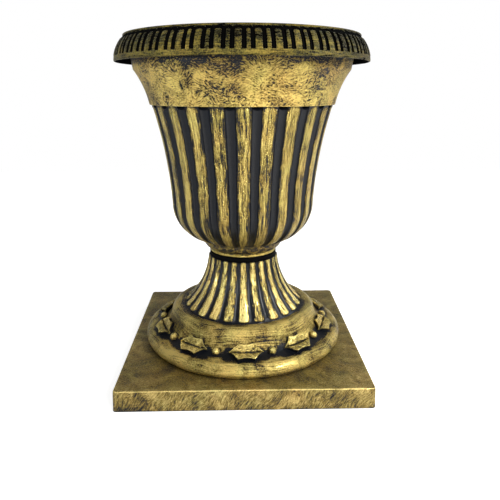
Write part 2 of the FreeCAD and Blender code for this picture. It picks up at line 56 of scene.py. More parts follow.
def addNode(tree, kind, inputs=None, **settings):
    # one node with its settings; an input is a value, or a socket that gets linked
    node = tree.nodes.new(kind)
    for key, value in settings.items():
        setattr(node, key, value)
    for key, value in (inputs or {}).items():
        if isinstance(value, bpy.types.NodeSocket):
            tree.links.new(value, node.inputs[key])
        else:
            node.inputs[key].default_value = value
    return node


def clamped(value):
    return min(max(value, 0.0), 1.0)


def smooth(low, high, value):
    # 0 at low and 1 at high, with a soft start and end
    share = clamped((value - low) / (high - low))
    return share * share * (3 - 2 * share)


def stretch(start, end, share):
    return start + (end - start) * share


def dome(share):
    # height of a unit circle at a share of its radius
    return math.sqrt(max(1 - share ** 2, 0.0))


def run(start, end, steps):
    # points after start, up to end, on a straight line
    return [tuple(stretch(a, b, step / steps) for a, b in zip(start, end)) for step in range(1, steps + 1)]


def arc(start, end, steps, radius, side):
    # points after start, up to end, on an arc whose centre lies left (1) or right (-1) of the way
    (x0, y0, p0), (x1, y1, p1) = start, end
    chord = math.hypot(x1 - x0, y1 - y0)
    reach = math.sqrt(max(radius ** 2 - chord ** 2 / 4, 0.0))
    cx = (x0 + x1) / 2 - side * reach * (y1 - y0) / chord
    cy = (y0 + y1) / 2 + side * reach * (x1 - x0) / chord
    first = math.atan2(y0 - cy, x0 - cx)
    turn = math.remainder(math.atan2(y1 - cy, x1 - cx) - first, math.tau)
    points = []
    for step in range(1, steps + 1):
        share = step / steps
        angle = first + turn * share
        points.append((cx + radius * math.cos(angle), cy + radius * math.sin(angle), stretch(p0, p1, share)))
    return points


def outlineOf(start, *stretches):
    # a profile of (radius, level, relief) points: a stretch is (end, steps) when straight,
    # and (end, steps, radius, side) on an arc
    points = [start]
    for end, steps, *bend in stretches:
        points += arc(points[-1], end, steps, *bend) if bend else run(points[-1], end, steps)
    return points


# the ring that every repeated form goes through

def makeRingTree():
    tree = bpy.data.node_groups.new("ringRepeat", "GeometryNodeTree")
    sockets = {
        "Geometry": "Geometry", "Count": "Int", "Turn": "Float", "Weld": "Float", "Material": "Material"}
    for name, kind in sockets.items():
        tree.interface.new_socket(name, in_out="INPUT", socket_type="NodeSocket" + kind)
    tree.interface.new_socket("Geometry", in_out="OUTPUT", socket_type="NodeSocketGeometry")
    given = addNode(tree, "NodeGroupInput").outputs
    places = addNode(tree, "GeometryNodePoints", {"Count": given["Count"]})
    pitch = addNode(tree, "ShaderNodeMath", {0: math.tau, 1: given["Count"]}, operation="DIVIDE")
    index = addNode(tree, "GeometryNodeInputIndex")
    angle = addNode(
        tree, "ShaderNodeMath", {0: index.outputs[0], 1: pitch.outputs[0], 2: given["Turn"]},
        operation="MULTIPLY_ADD")
    euler = addNode(tree, "ShaderNodeCombineXYZ", {"Z": angle.outputs[0]})
    rotation = addNode(tree, "FunctionNodeEulerToRotation", {0: euler.outputs[0]})
    ring = addNode(
        tree, "GeometryNodeInstanceOnPoints",
        {"Points": places.outputs[0], "Instance": given["Geometry"], "Rotation": rotation.outputs[0]})
    whole = addNode(tree, "GeometryNodeRealizeInstances", {0: ring.outputs[0]})
    welded = addNode(
        tree, "GeometryNodeMergeByDistance", {"Geometry": whole.outputs[0], "Distance": given["Weld"]})
    painted = addNode(
        tree, "GeometryNodeSetMaterial", {"Geometry": welded.outputs[0], "Material": given["Material"]})
    addNode(tree, "NodeGroupOutput", {0: painted.outputs[0]})
    return tree


ringTree = makeRingTree()
weldGap = 0.000005
crispAngle = math.radians(38)


def closeMesh(mesh):
    # outward faces and smooth shading with crisp edges
    work = bmesh.new()
    work.from_mesh(mesh)
    bmesh.ops.recalc_face_normals(work, faces=work.faces)
    work.to_mesh(mesh)
    work.free()
    mesh.shade_smooth()
    mesh.set_sharp_from_angle(angle=crispAngle)


def ringOf(segment, count, turn, material):
    # repeats a segment round the upright axis and leaves a plain mesh
    modifier = segment.modifiers.new("ring", "NODES")
    modifier.node_group = ringTree
    values = {"Count": count, "Turn": turn, "Weld": weldGap, "Material": material}
    for item in ringTree.interface.items_tree:
        if item.in_out == "INPUT" and item.name in values:
            modifier[item.identifier] = values[item.name]
    bpy.context.view_layer.update()
    ready = segment.evaluated_get(bpy.context.evaluated_depsgraph_get())
    mesh = bpy.data.meshes.new_from_object(ready)
    segment.modifiers.clear()
    segment.data = mesh
    closeMesh(mesh)
    return segment


def giveValues(mesh, **values):
    # a float attribute on the points for each name, from a list or from one number for all
    for name, given in values.items():
        numbers = given if isinstance(given, list) else [given] * len(mesh.vertices)
        mesh.attributes.new(name, "FLOAT", "POINT").data.foreach_set("value", numbers)


def linkedObject(name, mesh):
    piece = bpy.data.objects.new(name, mesh)
    scene.collection.objects.link(piece)
    return piece


def meshObject(name, points, faces, **values):
    mesh = bpy.data.meshes.new(name)
    mesh.from_pydata(points, [], faces)
    giveValues(mesh, **values)
    return linkedObject(name, mesh)


def facesBetween(rows, columns, closeRows, closeColumns):
    # four-sided faces between rows of points that follow each other
    faces = []
    for row in range(rows if closeRows else rows - 1):
        first, second = row * columns, (row + 1) % rows * columns
        for column in range(columns if closeColumns else columns - 1):
            after = (column + 1) % columns
            faces.append((first + column, first + after, second + after, second + column))
    return faces


def turnedSegment(name, profile, stations, place):
    # a slice of a turned form: profile is a closed loop of (radius, level, relief), down the outside first,
    # place(row, station) gives the angle from the front, the rise off the surface and the relief
    rows = len(profile)
    outward = []
    along = [0.0]
    for row, here in enumerate(profile):
        before, after = profile[row - 1], profile[(row + 1) % rows]
        slope = Vector((after[0] - before[0], after[1] - before[1]))
        slope = slope.normalized() if slope.length > 0 else Vector((0, 1))
        outward.append((-slope.y, slope.x))
        along.append(along[-1] + math.hypot(after[0] - here[0], after[1] - here[1]))
    points, reliefs, alongs = [], [], []
    for row, (radius, level, relief) in enumerate(profile):
        for station in stations:
            angle, rise, raised = place(row, station)
            r = radius + rise * outward[row][0]
            points.append((r * math.sin(angle), -r * math.cos(angle), level + rise * outward[row][1]))
            reliefs.append(relief if raised is None else raised)
            alongs.append(along[row])
    faces = facesBetween(rows, len(stations), True, False)
    return meshObject(name, points, faces, relief=reliefs, along=alongs, lively=1.0)


def plainTurned(name, profile, material, count=48, columns=5):
    # a turned form with nothing repeated on it, made of equal slices
    pitch = math.tau / count
    stations = [pitch * (column / (columns - 1) - 0.5) for column in range(columns)]
    segment = turnedSegment(name, profile, stations, lambda row, angle: (angle, 0.0, None))
    return ringOf(segment, count, 0.0, material)


def bothSides(**shares):
    # stations from the middle of a raised strip to the middle of a hollow, on either side of the strip
    half = [(kind, share) for kind, row in shares.items() for share in row]
    return [(*spot, -1) for spot in reversed(half[1:])] + [(*spot, 1) for spot in half]


# materials

def emptyMaterial(name):
    material = bpy.data.materials.new(name)
    material.use_nodes = True
    material.node_tree.nodes.clear()
    return material


def brushTrack(tree, place, finish):
    # the place as the slow drift of the hand bends it, and the same measured in brush strokes
    wide, long = finish["strokeWide"], finish["strokeLong"]
    hand = addNode(
        tree, "ShaderNodeTexNoise", {"Vector": place, "Scale": 1 / finish["swirlSize"], "Detail": 1.0})
    drift = addNode(
        tree, "ShaderNodeVectorMath", {0: hand.outputs["Color"], 1: (0.5, 0.5, 0.5)}, operation="SUBTRACT")
    sway = addNode(
        tree, "ShaderNodeVectorMath", {0: drift.outputs[0], "Scale": finish["swirl"]}, operation="SCALE")
    swayed = addNode(tree, "ShaderNodeVectorMath", {0: place, 1: sway.outputs[0]}).outputs[0]
    if finish["strokes"] == "flat":
        # strokes of a flat piece: long one way, fine the other, turned to the brush's slant
        slant = [math.radians(angle) for angle in finish["slant"]]
        sweep = addNode(
            tree, "ShaderNodeMapping", {"Vector": swayed, "Rotation": slant, "Scale": (long, wide, wide)},
            vector_type="TEXTURE")
        return swayed, sweep.outputs[0]
    # strokes of a turned piece: one step round the axis and one along the profile
    track = addNode(tree, "ShaderNodeAttribute", attribute_name="along").outputs["Fac"]
    lifted = addNode(tree, "ShaderNodeSeparateXYZ", {0: sway.outputs[0]}).outputs["Z"]
    along = addNode(tree, "ShaderNodeMath", {0: track, 1: lifted}).outputs[0]
    flat = addNode(tree, "ShaderNodeVectorMath", {0: swayed, 1: (1, 1, 0)}, operation="MULTIPLY")
    unit = addNode(tree, "ShaderNodeVectorMath", {0: flat.outputs[0]}, operation="NORMALIZE")
    around = addNode(
        tree, "ShaderNodeVectorMath", {0: unit.outputs[0], "Scale": finish["radius"] / wide},
        operation="SCALE")
    lengthwise = addNode(tree, "ShaderNodeMath", {0: along, 1: 1 / long}, operation="MULTIPLY")
    height = addNode(tree, "ShaderNodeCombineXYZ", {"Z": lengthwise.outputs[0]})
    sweep = addNode(tree, "ShaderNodeVectorMath", {0: around.outputs[0], 1: height.outputs[0]})
    return swayed, sweep.outputs[0]


def paintAmount(tree, place, swayed, sweep, stroke, finish):
    # how thick the gold lies, 0 to 1: what stands proud took it, and the marks of the brush break it up
    relief = addNode(tree, "ShaderNodeAttribute", attribute_name="relief").outputs["Fac"]
    lively = addNode(tree, "ShaderNodeAttribute", attribute_name="lively").outputs["Fac"]
    # one land or reed got more paint than the next
    uneven = addNode(
        tree, "ShaderNodeTexNoise", {"Vector": sweep, "Scale": finish["strokeShare"], "Detail": 1.0})
    patch = addNode(
        tree, "ShaderNodeTexNoise",
        {"Vector": place, "Scale": 1 / finish["patchSize"], "Detail": 3.0, "Roughness": 0.6,
         "Distortion": 0.8})
    speck = addNode(
        tree, "ShaderNodeTexNoise",
        {"Vector": place, "Scale": 1 / finish["speckSize"], "Detail": 2.0, "Roughness": 0.6})
    # spots that the brush missed
    spot = addNode(
        tree, "ShaderNodeTexNoise",
        {"Vector": swayed, "Scale": 1 / finish["spotSize"], "Detail": 4.0, "Roughness": 0.65})
    missed = addNode(
        tree, "ShaderNodeMapRange",
        {"Value": spot.outputs["Fac"], "From Min": finish["spotStart"], "From Max": finish["spotFull"],
         "To Max": finish["spotGain"]})
    left = addNode(tree, "ShaderNodeMath", {0: missed.outputs[0], 1: lively}, operation="MULTIPLY")
    level = addNode(tree, "ShaderNodeMath", {0: relief, 1: left.outputs[0]}, operation="SUBTRACT").outputs[0]
    marks = {"strokeGain": stroke, "unevenGain": uneven, "patchGain": patch, "speckGain": speck}
    for gain, noise in marks.items():
        # a noise lies about one half; the attribute lively holds it back on quiet surfaces
        centred = addNode(tree, "ShaderNodeMath", {0: noise.outputs["Fac"], 1: 0.5}, operation="SUBTRACT")
        strength = addNode(tree, "ShaderNodeMath", {0: lively, 1: finish[gain]}, operation="MULTIPLY")
        level = addNode(
            tree, "ShaderNodeMath", {0: centred.outputs[0], 1: strength.outputs[0], 2: level},
            operation="MULTIPLY_ADD").outputs[0]
    least, most = finish["cover"] - finish["edge"], finish["cover"] + finish["full"]
    return addNode(
        tree, "ShaderNodeMapRange", {"Value": level, "From Min": least, "From Max": most}).outputs[0]


def gildedPlastic(name, finish):
    # charcoal polypropylene moulding, satin, with gold bronze paint dragged over what stands proud:
    # ragged paint edges, bristle lines, dark specks and thin brown patches show
    material = emptyMaterial(name)
    tree = material.node_tree
    place = addNode(tree, "ShaderNodeTexCoord").outputs["Object"]
    swayed, sweep = brushTrack(tree, place, finish)
    stroke = addNode(
        tree, "ShaderNodeTexNoise", {"Vector": sweep, "Scale": 1.0, "Detail": 3.0, "Roughness": 0.65})
    amount = paintAmount(tree, place, swayed, sweep, stroke, finish)
    # bare plastic, thin brown paint, gold, and the brightest where the paint lies thick
    ramp = addNode(tree, "ShaderNodeValToRGB", {0: amount})
    thin = finish["edge"] / (finish["edge"] + finish["full"])
    steps = ramp.color_ramp.elements
    steps[0].position, steps[0].color = 0.0, linearColour(finish["plastic"])
    steps[1].position, steps[1].color = 1.0, linearColour(finish["bright"])
    for position, paint in ((thin, "brown"), (thin + finish["brownRun"], "gold")):
        steps.new(position).color = linearColour(finish[paint])
    gold = addNode(
        tree, "ShaderNodeMapRange",
        {"Value": amount, "From Min": thin * finish["metalStart"], "From Max": thin + finish["metalRun"]},
        interpolation_type="SMOOTHSTEP").outputs[0]
    metal = addNode(tree, "ShaderNodeMath", {0: gold, 1: finish["metal"]}, operation="MULTIPLY")
    rough = addNode(
        tree, "ShaderNodeMapRange",
        {"Value": gold, "To Min": finish["plasticRough"], "To Max": finish["goldRough"]})
    sheen = addNode(
        tree, "ShaderNodeMapRange",
        {"Value": gold, "To Min": finish["plasticSheen"], "To Max": finish["goldSheen"]})
    # the gold drifts between a warm and an olive tone
    tone = addNode(
        tree, "ShaderNodeTexNoise", {"Vector": swayed, "Scale": 1 / finish["toneSize"], "Detail": 2.0})
    tint = addNode(tree, "ShaderNodeValToRGB", {0: tone.outputs["Fac"]})
    ends = tint.color_ramp.elements
    ends[0].position, ends[0].color = finish["toneStart"], linearColour(finish["olive"])
    ends[1].position, ends[1].color = finish["toneEnd"], linearColour(finish["warm"])
    colour = addNode(
        tree, "ShaderNodeMix", {0: 1.0, 6: ramp.outputs[0], 7: tint.outputs[0]},
        data_type="RGBA", blend_type="MULTIPLY").outputs[2]
    lump = addNode(
        tree, "ShaderNodeTexNoise", {"Vector": place, "Scale": 1 / finish["lumpSize"], "Detail": 2.0})
    # the bristles leave fine ridges in the paint, which break up its shine
    ridges = addNode(
        tree, "ShaderNodeMath", {0: stroke.outputs["Fac"], 1: gold}, operation="MULTIPLY")
    skin = addNode(
        tree, "ShaderNodeMath", {0: ridges.outputs[0], 1: finish["bristle"], 2: lump.outputs["Fac"]},
        operation="MULTIPLY_ADD")
    waves = addNode(
        tree, "ShaderNodeBump", {"Height": skin.outputs[0], "Strength": 1.0, "Distance": finish["lump"]})
    bump = addNode(
        tree, "ShaderNodeBump",
        {"Height": amount, "Strength": finish["bump"], "Distance": finish["paintThick"],
         "Normal": waves.outputs[0]})
    shader = addNode(
        tree, "ShaderNodeBsdfPrincipled",
        {"Base Color": colour, "Metallic": metal.outputs[0], "Roughness": rough.outputs[0],
         "Specular IOR Level": sheen.outputs[0], "Normal": bump.outputs[0]})
    addNode(tree, "ShaderNodeOutputMaterial", {0: shader.outputs[0]})
    return material


# what all the gilded finishes share, with sizes in metres; each piece changes what differs on it
gilding = {
    "plastic": "#0c0f16", "gold": "#9c853f", "bright": "#d8c270", "brown": "#5a4c2a",
    "strokes": "turned", "strokeWide": 0.0011, "strokeLong": 0.018, "radius": 0.1,
    "patchSize": 0.028, "speckSize": 0.0016, "swirl": 0.004, "swirlSize": 0.02,
    "strokeGain": 1.0, "strokeShare": 0.12, "unevenGain": 0.3, "patchGain": 0.8, "speckGain": 0.8,
    "cover": 0.82, "edge": 0.06, "full": 0.42, "brownRun": 0.18,
    "metal": 0.7, "metalStart": 0.4, "metalRun": 0.1,
    "plasticRough": 0.3, "goldRough": 0.32, "plasticSheen": 0.3, "goldSheen": 0.5,
    "spotSize": 0.03, "spotGain": 0.3, "spotStart": 0.62, "spotFull": 0.7,
    "lumpSize": 0.004, "lump": 0.0004, "bristle": 0.8, "bump": 0.9, "paintThick": 0.0008,
    "olive": "#f2f6ea", "warm": "#fff3e6", "toneSize": 0.03, "toneStart": 0.3, "toneEnd": 0.7,
}
rubber = {"dark": 0.7, "light": 1.3, "grainDepth": 0.0002, "grainStrength": 0.4, "rough": 0.75}


def mouldedRubber(name, hexText, grain):
    # soft moulded rubber: matt, near black, with the fine grain of the mould
    material = bpy.data.materials.new(name)
    material.use_nodes = True
    tree = material.node_tree
    shader = tree.nodes["Principled BSDF"]
    place = addNode(tree, "ShaderNodeTexCoord").outputs["Object"]
    noise = addNode(tree, "ShaderNodeTexNoise", {"Vector": place, "Scale": 1 / grain, "Detail": 3.0})
    tone = addNode(
        tree, "ShaderNodeMapRange",
        {"Value": noise.outputs["Fac"], "To Min": rubber["dark"], "To Max": rubber["light"]})
    colour = addNode(
        tree, "ShaderNodeMix", {0: 1.0, 6: linearColour(hexText), 7: tone.outputs[0]},
        data_type="RGBA", blend_type="MULTIPLY")
    bump = addNode(
        tree, "ShaderNodeBump",
        {"Height": noise.outputs["Fac"], "Strength": rubber["grainStrength"],
         "Distance": rubber["grainDepth"]})
    tree.links.new(colour.outputs[2], shader.inputs["Base Color"])
    tree.links.new(bump.outputs[0], shader.inputs["Normal"])
    shader.inputs["Roughness"].default_value = rubber["rough"]
    return material


# sizes of the frame that the pieces hang on, in metres

bowlLow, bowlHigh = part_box("bowl")
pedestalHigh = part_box("pedestal")[1]
rimTop = bowlHigh.z
rimRadius = bowlHigh.y
deckTop = pedestalHigh.z
plinthHalf = pedestalHigh.x

# rim: lip, ribs in arched niches, plain band and hollow skirt
rim = {
    "count": 48, "turn": math.radians(1.6), "arc": 0.039, "skirt": 0.0302, "wall": 0.0028,
    "lip": 0.0026, "lipThick": 0.0045, "lipRound": 0.0009, "lipLean": 0.0007, "foldRadius": 0.13377,
    "band": 0.0064, "hemRound": 0.0012, "hemIn": 0.0011, "hemBevel": 0.0006, "hemUp": 0.0007,
    "insideUp": 0.002,
    "ribDepth": 0.0014, "ribCrown": 0.0003, "narrowHalf": 0.0021, "groove": 0.0043,
    "edge": 0.00035, "soft": 0.0006, "archDrop": 0.0012, "ribGap": 0.0022, "ribRound": 0.0016,
    "archRow": 0.0005, "archRows": 14, "footRow": 0.0004,
    "shadedRibTop": 0.87, "paintFoot": 1.0, "paintBand": 1.02, "paintBlend": 0.001,
}
skirtFoot = rimTop - rim["skirt"]
foldLevel = rimTop - rim["lipThick"]
rimCentre = rimRadius - rim["arc"]


def makeRim(material):
    lipFoot = rimTop - rim["lip"]
    bandTop = skirtFoot + rim["band"]
    edge, archRow, footRow = rim["lipRound"], rim["archRow"], rim["footRow"]

    def skirtPoint(level, relief, depth=0.0):
        reach = math.sqrt((rim["arc"] - depth) ** 2 - (level - skirtFoot) ** 2)
        return (rimCentre + reach, level, relief)

    lipRadius = skirtPoint(lipFoot, 1.0)[0]
    innerLip = rim["foldRadius"] + rim["lipLean"]
    profile = outlineOf(
        (rim["foldRadius"], foldLevel, 0.2),
        ((innerLip - edge * 0.1, rimTop - edge, 0.3), 1),
        ((innerLip + edge, rimTop, 0.45), 3, edge * 1.05, -1),
        ((lipRadius - edge, rimTop, 0.55), 3),
        ((lipRadius, rimTop - edge, 1.1), 4, edge, -1))
    # close rows at the arched tops and at the feet of the ribs, wide ones between
    firstRow = len(profile)
    levels = [lipFoot + footRow]
    levels += [lipFoot - archRow * step for step in range(rim["archRows"])]
    archFoot = lipFoot - archRow * (rim["archRows"] + 1)
    levels += [stretch(archFoot, bandTop + 3 * footRow, step / 5) for step in range(6)]
    levels += [bandTop + footRow * step for step in (2, 1, 0, -1, -2)]
    hemTop = skirtFoot + rim["hemRound"]
    levels += [stretch(bandTop - 4 * footRow, hemTop, share) for share in (0.0, 0.35, 0.7, 1.0)]
    profile += [skirtPoint(level, rim["paintBand"]) for level in levels]
    hem = outlineOf(
        profile[-1],
        ((rimRadius - rim["hemIn"], skirtFoot, 1.0), 4, rim["hemRound"], -1),
        ((rimRadius - rim["wall"] + rim["hemBevel"], skirtFoot, 0.5), 1))
    lastRow = len(profile)
    profile += hem[1:]
    profile += [skirtPoint(skirtFoot + rim["hemUp"], 0.3, rim["wall"])]
    insideFoot = skirtFoot + rim["insideUp"]
    profile += [skirtPoint(stretch(insideFoot, foldLevel, step / 12), 0.1, rim["wall"]) for step in range(13)]

    halfPitch = math.pi / rim["count"]
    narrow = rim["narrowHalf"] / rimRadius
    wideFoot = narrow + rim["groove"] / rimRadius
    slope = rim["edge"] / rimRadius
    brink = 2.2 * slope
    middle = (narrow + wideFoot) / 2
    half = [
        0.0, narrow / 2, narrow - brink, narrow - slope, narrow + slope, middle, wideFoot - slope,
        wideFoot + slope, wideFoot + brink, (wideFoot + halfPitch) / 2, halfPitch]
    stations = [-angle for angle in reversed(half[1:])] + half

    def ribs(row, angle):
        level = profile[row][1]
        if not firstRow <= row < lastRow or level < bandTop - 3 * footRow:
            return angle, 0.0, None
        # narrow and wide ribs in turn, each in its niche
        reach = abs(angle)
        centre, ribHalf, niche = 0.0, narrow, middle
        if reach >= middle:
            centre, ribHalf, niche = halfPitch, halfPitch - wideFoot, halfPitch - middle
        off = abs(reach - centre)
        arch = rim["archDrop"] * (1 - dome(off / niche))
        crown = dome(off / ribHalf)
        ribTop = lipFoot - rim["ribGap"] - rim["ribRound"] * (1 - crown)
        soft = rim["soft"]
        hollow = smooth(-soft, soft, lipFoot - arch - level) * smooth(-soft, soft, level - bandTop)
        rib = smooth(-soft, soft, ribTop - level) * smooth(slope, -slope, off - ribHalf)
        rise = -rim["ribDepth"] * hollow * (1 - rib) + rim["ribCrown"] * rib * crown * hollow
        # painted shade: the ribs are given less gold towards their tops, which are lit less, and full gold at
        # their lower ends
        down = (lipFoot - level) / (lipFoot - bandTop)
        onBand = smooth(rim["paintBlend"], -rim["paintBlend"], level - bandTop)
        proud = stretch(stretch(rim["shadedRibTop"], rim["paintFoot"], down), rim["paintBand"], onBand)
        return angle, rise, proud - proud * hollow * (1 - rib)

    segment = turnedSegment("urnRim", profile, stations, ribs)
    return ringOf(segment, rim["count"], rim["turn"], material)


# flared band between rim and flutes
band = {
    "height": 0.0405, "topRadius": 0.131, "footRadius": 0.1137, "arc": 0.107, "wall": 0.0028,
    "lipRound": 0.0009, "foldOuter": 0.1373,
}
# fluted body and belly
flutes = {
    "count": 24, "topDrop": 0.0792, "bodyHeight": 0.1215, "wall": 0.006, "floor": 0.0045,
    "topRadius": 0.1109, "waistRadius": 0.0904, "footRadius": 0.054, "footInner": 0.049, "leastRadius": 0.05,
    "bodyArc": 0.52, "bellyArc": 0.05, "depth": 0.0036, "depthFoot": 0.0016, "depthPower": 0.55,
    "widthTop": 0.0124, "widthWaist": 0.0102, "widthFoot": 0.0052, "arrisDrop": 0.0004, "endRun": 0.005,
    "ragged": 0.0028, "valleyFade": 1.3, "topRound": 0.004, "topFade": 0.45, "fadeFrom": 0.003,
    "fadeTo": -0.001,
}
# gold on lands and reeds: thin at the arris, full a little way in, and failing into the hollow
brushed = {"arris": 0.72, "gain": 0.3, "most": 1.02, "brink": 0.75}
fluteTop = rimTop - flutes["topDrop"]
waistLevel = fluteTop - flutes["bodyHeight"]
bellyCentre = flutes["waistRadius"] - flutes["bellyArc"]
fluteFoot = waistLevel - math.sqrt(flutes["bellyArc"] ** 2 - (flutes["footRadius"] - bellyCentre) ** 2)
floorTop = fluteFoot + flutes["floor"]


def landPaint(off, ragged):
    return min(brushed["arris"] + off / ragged * brushed["gain"], brushed["most"])


def hollowPaint(deep, fade):
    return max(brushed["brink"] - deep * fade, 0.0)


def makeBand(material):
    bandTop = fluteTop + band["height"]
    edge = band["lipRound"]
    profile = outlineOf(
        (band["foldOuter"], foldLevel, 0.0),
        ((band["topRadius"], bandTop, 0.95), 6),
        ((band["footRadius"], fluteTop + edge, 1.05), 18, band["arc"], 1),
        ((band["footRadius"] - edge, fluteTop, 1.35), 4, edge, -1),
        ((flutes["topRadius"], fluteTop, 0.1), 1),
        ((flutes["topRadius"] - flutes["wall"], fluteTop, 0.0), 2),
        ((band["topRadius"] - band["wall"], bandTop, 0.0), 14, band["arc"] + band["wall"], -1),
        ((rim["foldRadius"], foldLevel, 0.0), 4))
    return plainTurned("urnBand", profile, material)


def makeFlutes(material):
    wall = flutes["wall"]
    top = (flutes["topRadius"], fluteTop, 1.0)
    waist = (flutes["waistRadius"], waistLevel, 1.0)
    upper = arc(top, waist, 104, flutes["bodyArc"], 1)
    # close rows under the band, where the gold ends round, and wider ones below
    profile = [top] + upper[:7] + upper[7::4]
    profile += arc(waist, (flutes["footRadius"], fluteFoot, 1.0), 30, flutes["bellyArc"], -1)
    outer = len(profile)
    innerArc = flutes["bellyArc"] - wall
    innerFoot = bellyCentre + math.sqrt(innerArc ** 2 - (waistLevel - floorTop) ** 2)
    inside = outlineOf(
        profile[-1],
        ((flutes["footInner"], fluteFoot, 0.2), 3),
        ((innerFoot, floorTop, 0.0), 1),
        ((flutes["waistRadius"] - wall, waistLevel, 0.0), 12, innerArc, 1),
        ((flutes["topRadius"] - wall, fluteTop, 0.0), 12, flutes["bodyArc"] + wall, -1))
    profile += inside[1:]
    halfPitch = math.pi / flutes["count"]
    stations = bothSides(
        land=(0.0, 0.3, 0.55, 0.75, 0.88, 0.96), valley=(0.0, 0.04, 0.1, 0.2, 0.35, 0.55, 0.77, 1.0))

    def measures(level):
        if level > waistLevel:
            share = (level - waistLevel) / flutes["bodyHeight"]
            return stretch(flutes["widthWaist"], flutes["widthTop"], share), flutes["depth"]
        share = (waistLevel - level) / (waistLevel - fluteFoot)
        turn = math.asin(min(share, 1.0)) / (math.pi / 2)
        return (stretch(flutes["widthWaist"], flutes["widthFoot"], turn),
                stretch(flutes["depth"], flutes["depthFoot"], turn))

    def valleys(row, station):
        radius, level = profile[row][:2]
        kind, share, side = station
        width, depth = measures(max(level, fluteFoot))
        arris = halfPitch - min(width / 2 / max(radius, flutes["leastRadius"]), halfPitch * 0.8)
        angle = stretch(0.0, arris, share) if kind == "land" else stretch(arris, halfPitch, share)
        if row >= outer:
            return side * angle, 0.0, None
        if kind == "land":
            under = fluteTop - level - flutes["topRound"] * (1 - dome(share))
            fade = flutes["topFade"] * smooth(flutes["fadeFrom"], flutes["fadeTo"], under)
            paint = landPaint((arris - angle) * radius, flutes["ragged"])
            return side * angle, -flutes["arrisDrop"] * share ** 4, paint - fade
        # the valley runs out in a round end just over the foot
        left = (level - fluteFoot) / flutes["endRun"]
        deep = (1 - (1 - share) ** 2) ** flutes["depthPower"]
        rise = -flutes["arrisDrop"] - depth * dome(max(1 - left, 0.0)) * deep
        return side * angle, rise, hollowPaint(deep, flutes["valleyFade"])

    segment = turnedSegment("urnFlutes", profile, stations, valleys)
    return ringOf(segment, flutes["count"], 0.0, material)


# foot ring with its bead, the floor round the drain holes and the spigot
foot = {
    "radius": 0.0429, "height": 0.004, "wall": 0.003, "lipRound": 0.0008, "lipIn": 0.0004,
    "beadRadius": 0.05, "beadRound": 0.010, "beadHeight": 0.0125, "rootIn": 0.001, "rootUp": 0.0008,
    "spigotRadius": 0.031, "spigotBore": 0.028, "plateRadius": 0.026, "floorRadius": 0.0463,
}
drains = {"count": 4, "radius": 0.006, "circle": 0.017}
lugs = {
    "count": 3, "reach": 0.006, "root": 0.0015, "height": 0.005, "spread": math.radians(30), "gap": 0.0003,
}
deck = {
    "radius": 0.042, "thick": 0.004, "opening": 0.0315, "notchReach": 0.0376, "lockTurn": math.radians(45),
    "notchSpread": math.radians(34), "stopInner": 0.0321, "stopOuter": 0.0418, "stopRoot": 0.002,
    "stopSpread": math.radians(41),
}
footTop = fluteFoot - foot["beadHeight"]
seat = footTop - foot["height"]


def makeFoot(material):
    edge = foot["lipRound"]
    spigotFoot = bowlLow.z
    bore = foot["radius"] - foot["wall"]
    profile = outlineOf(
        (foot["beadRadius"] - foot["rootIn"], fluteFoot + foot["rootUp"], 0.6),
        ((foot["beadRadius"], fluteFoot, 0.7), 1),
        ((foot["radius"] - foot["lipIn"], footTop, 0.8), 10, foot["beadRound"], -1),
        ((foot["radius"], footTop - edge, 0.95), 3, edge, -1),
        ((foot["radius"], seat + edge, 1.1), 2),
        ((foot["radius"] - edge, seat, 0.6), 3, edge, -1),
        ((bore, seat, 0.0), 1),
        ((bore, footTop, 0.0), 1),
        ((foot["beadRadius"] - foot["wall"], fluteFoot, 0.0), 3),
        ((foot["spigotRadius"], fluteFoot, 0.0), 2),
        ((foot["spigotRadius"], spigotFoot, 0.0), 4),
        ((foot["spigotBore"], spigotFoot, 0.0), 1),
        ((foot["spigotBore"], fluteFoot, 0.0), 4),
        ((foot["plateRadius"], fluteFoot, 0.0), 1),
        ((foot["plateRadius"], floorTop, 0.0), 1),
        ((foot["floorRadius"], floorTop, 0.0), 3))
    return plainTurned("urnFoot", profile, material)


def flatPlate(name, outlines, low, high, material):
    # a plate with holes: the first outline is its rim, the others are its openings
    curve = bpy.data.curves.new(name, "CURVE")
    curve.dimensions = "2D"
    curve.fill_mode = "BOTH"
    curve.extrude = (high - low) / 2
    for outline in outlines:
        spline = curve.splines.new("POLY")
        spline.points.add(len(outline) - 1)
        for point, (x, y) in zip(spline.points, outline):
            point.co = (x, y, 0.0, 1.0)
        spline.use_cyclic_u = True
    flat = linkedObject(name + "Outline", curve)
    bpy.context.view_layer.update()
    mesh = bpy.data.meshes.new_from_object(flat.evaluated_get(bpy.context.evaluated_depsgraph_get()))
    bpy.data.objects.remove(flat)
    work = bmesh.new()
    work.from_mesh(mesh)
    bmesh.ops.remove_doubles(work, verts=work.verts, dist=weldGap)
    bmesh.ops.translate(work, verts=work.verts, vec=(0.0, 0.0, (low + high) / 2))
    work.to_mesh(mesh)
    work.free()
    mesh.materials.clear()
    mesh.materials.append(material)
    mesh.name = name
    closeMesh(mesh)
    return linkedObject(name, mesh)


def onCircle(radius, angle, x=0.0, y=0.0):
    return (x + radius * math.cos(angle), y + radius * math.sin(angle))


def circle(radius, steps, x=0.0, y=0.0):
    return [onCircle(radius, math.tau * step / steps, x, y) for step in range(steps)]


def makeFloorPlate(material):
    outlines = [circle(foot["plateRadius"], 96)]
    for number in range(drains["count"]):
        middle = onCircle(drains["circle"], math.tau * (number + 0.5) / drains["count"])
        outlines.append(circle(drains["radius"], 40, *middle))
    return flatPlate("urnFloorPlate", outlines, fluteFoot, floorTop, material)


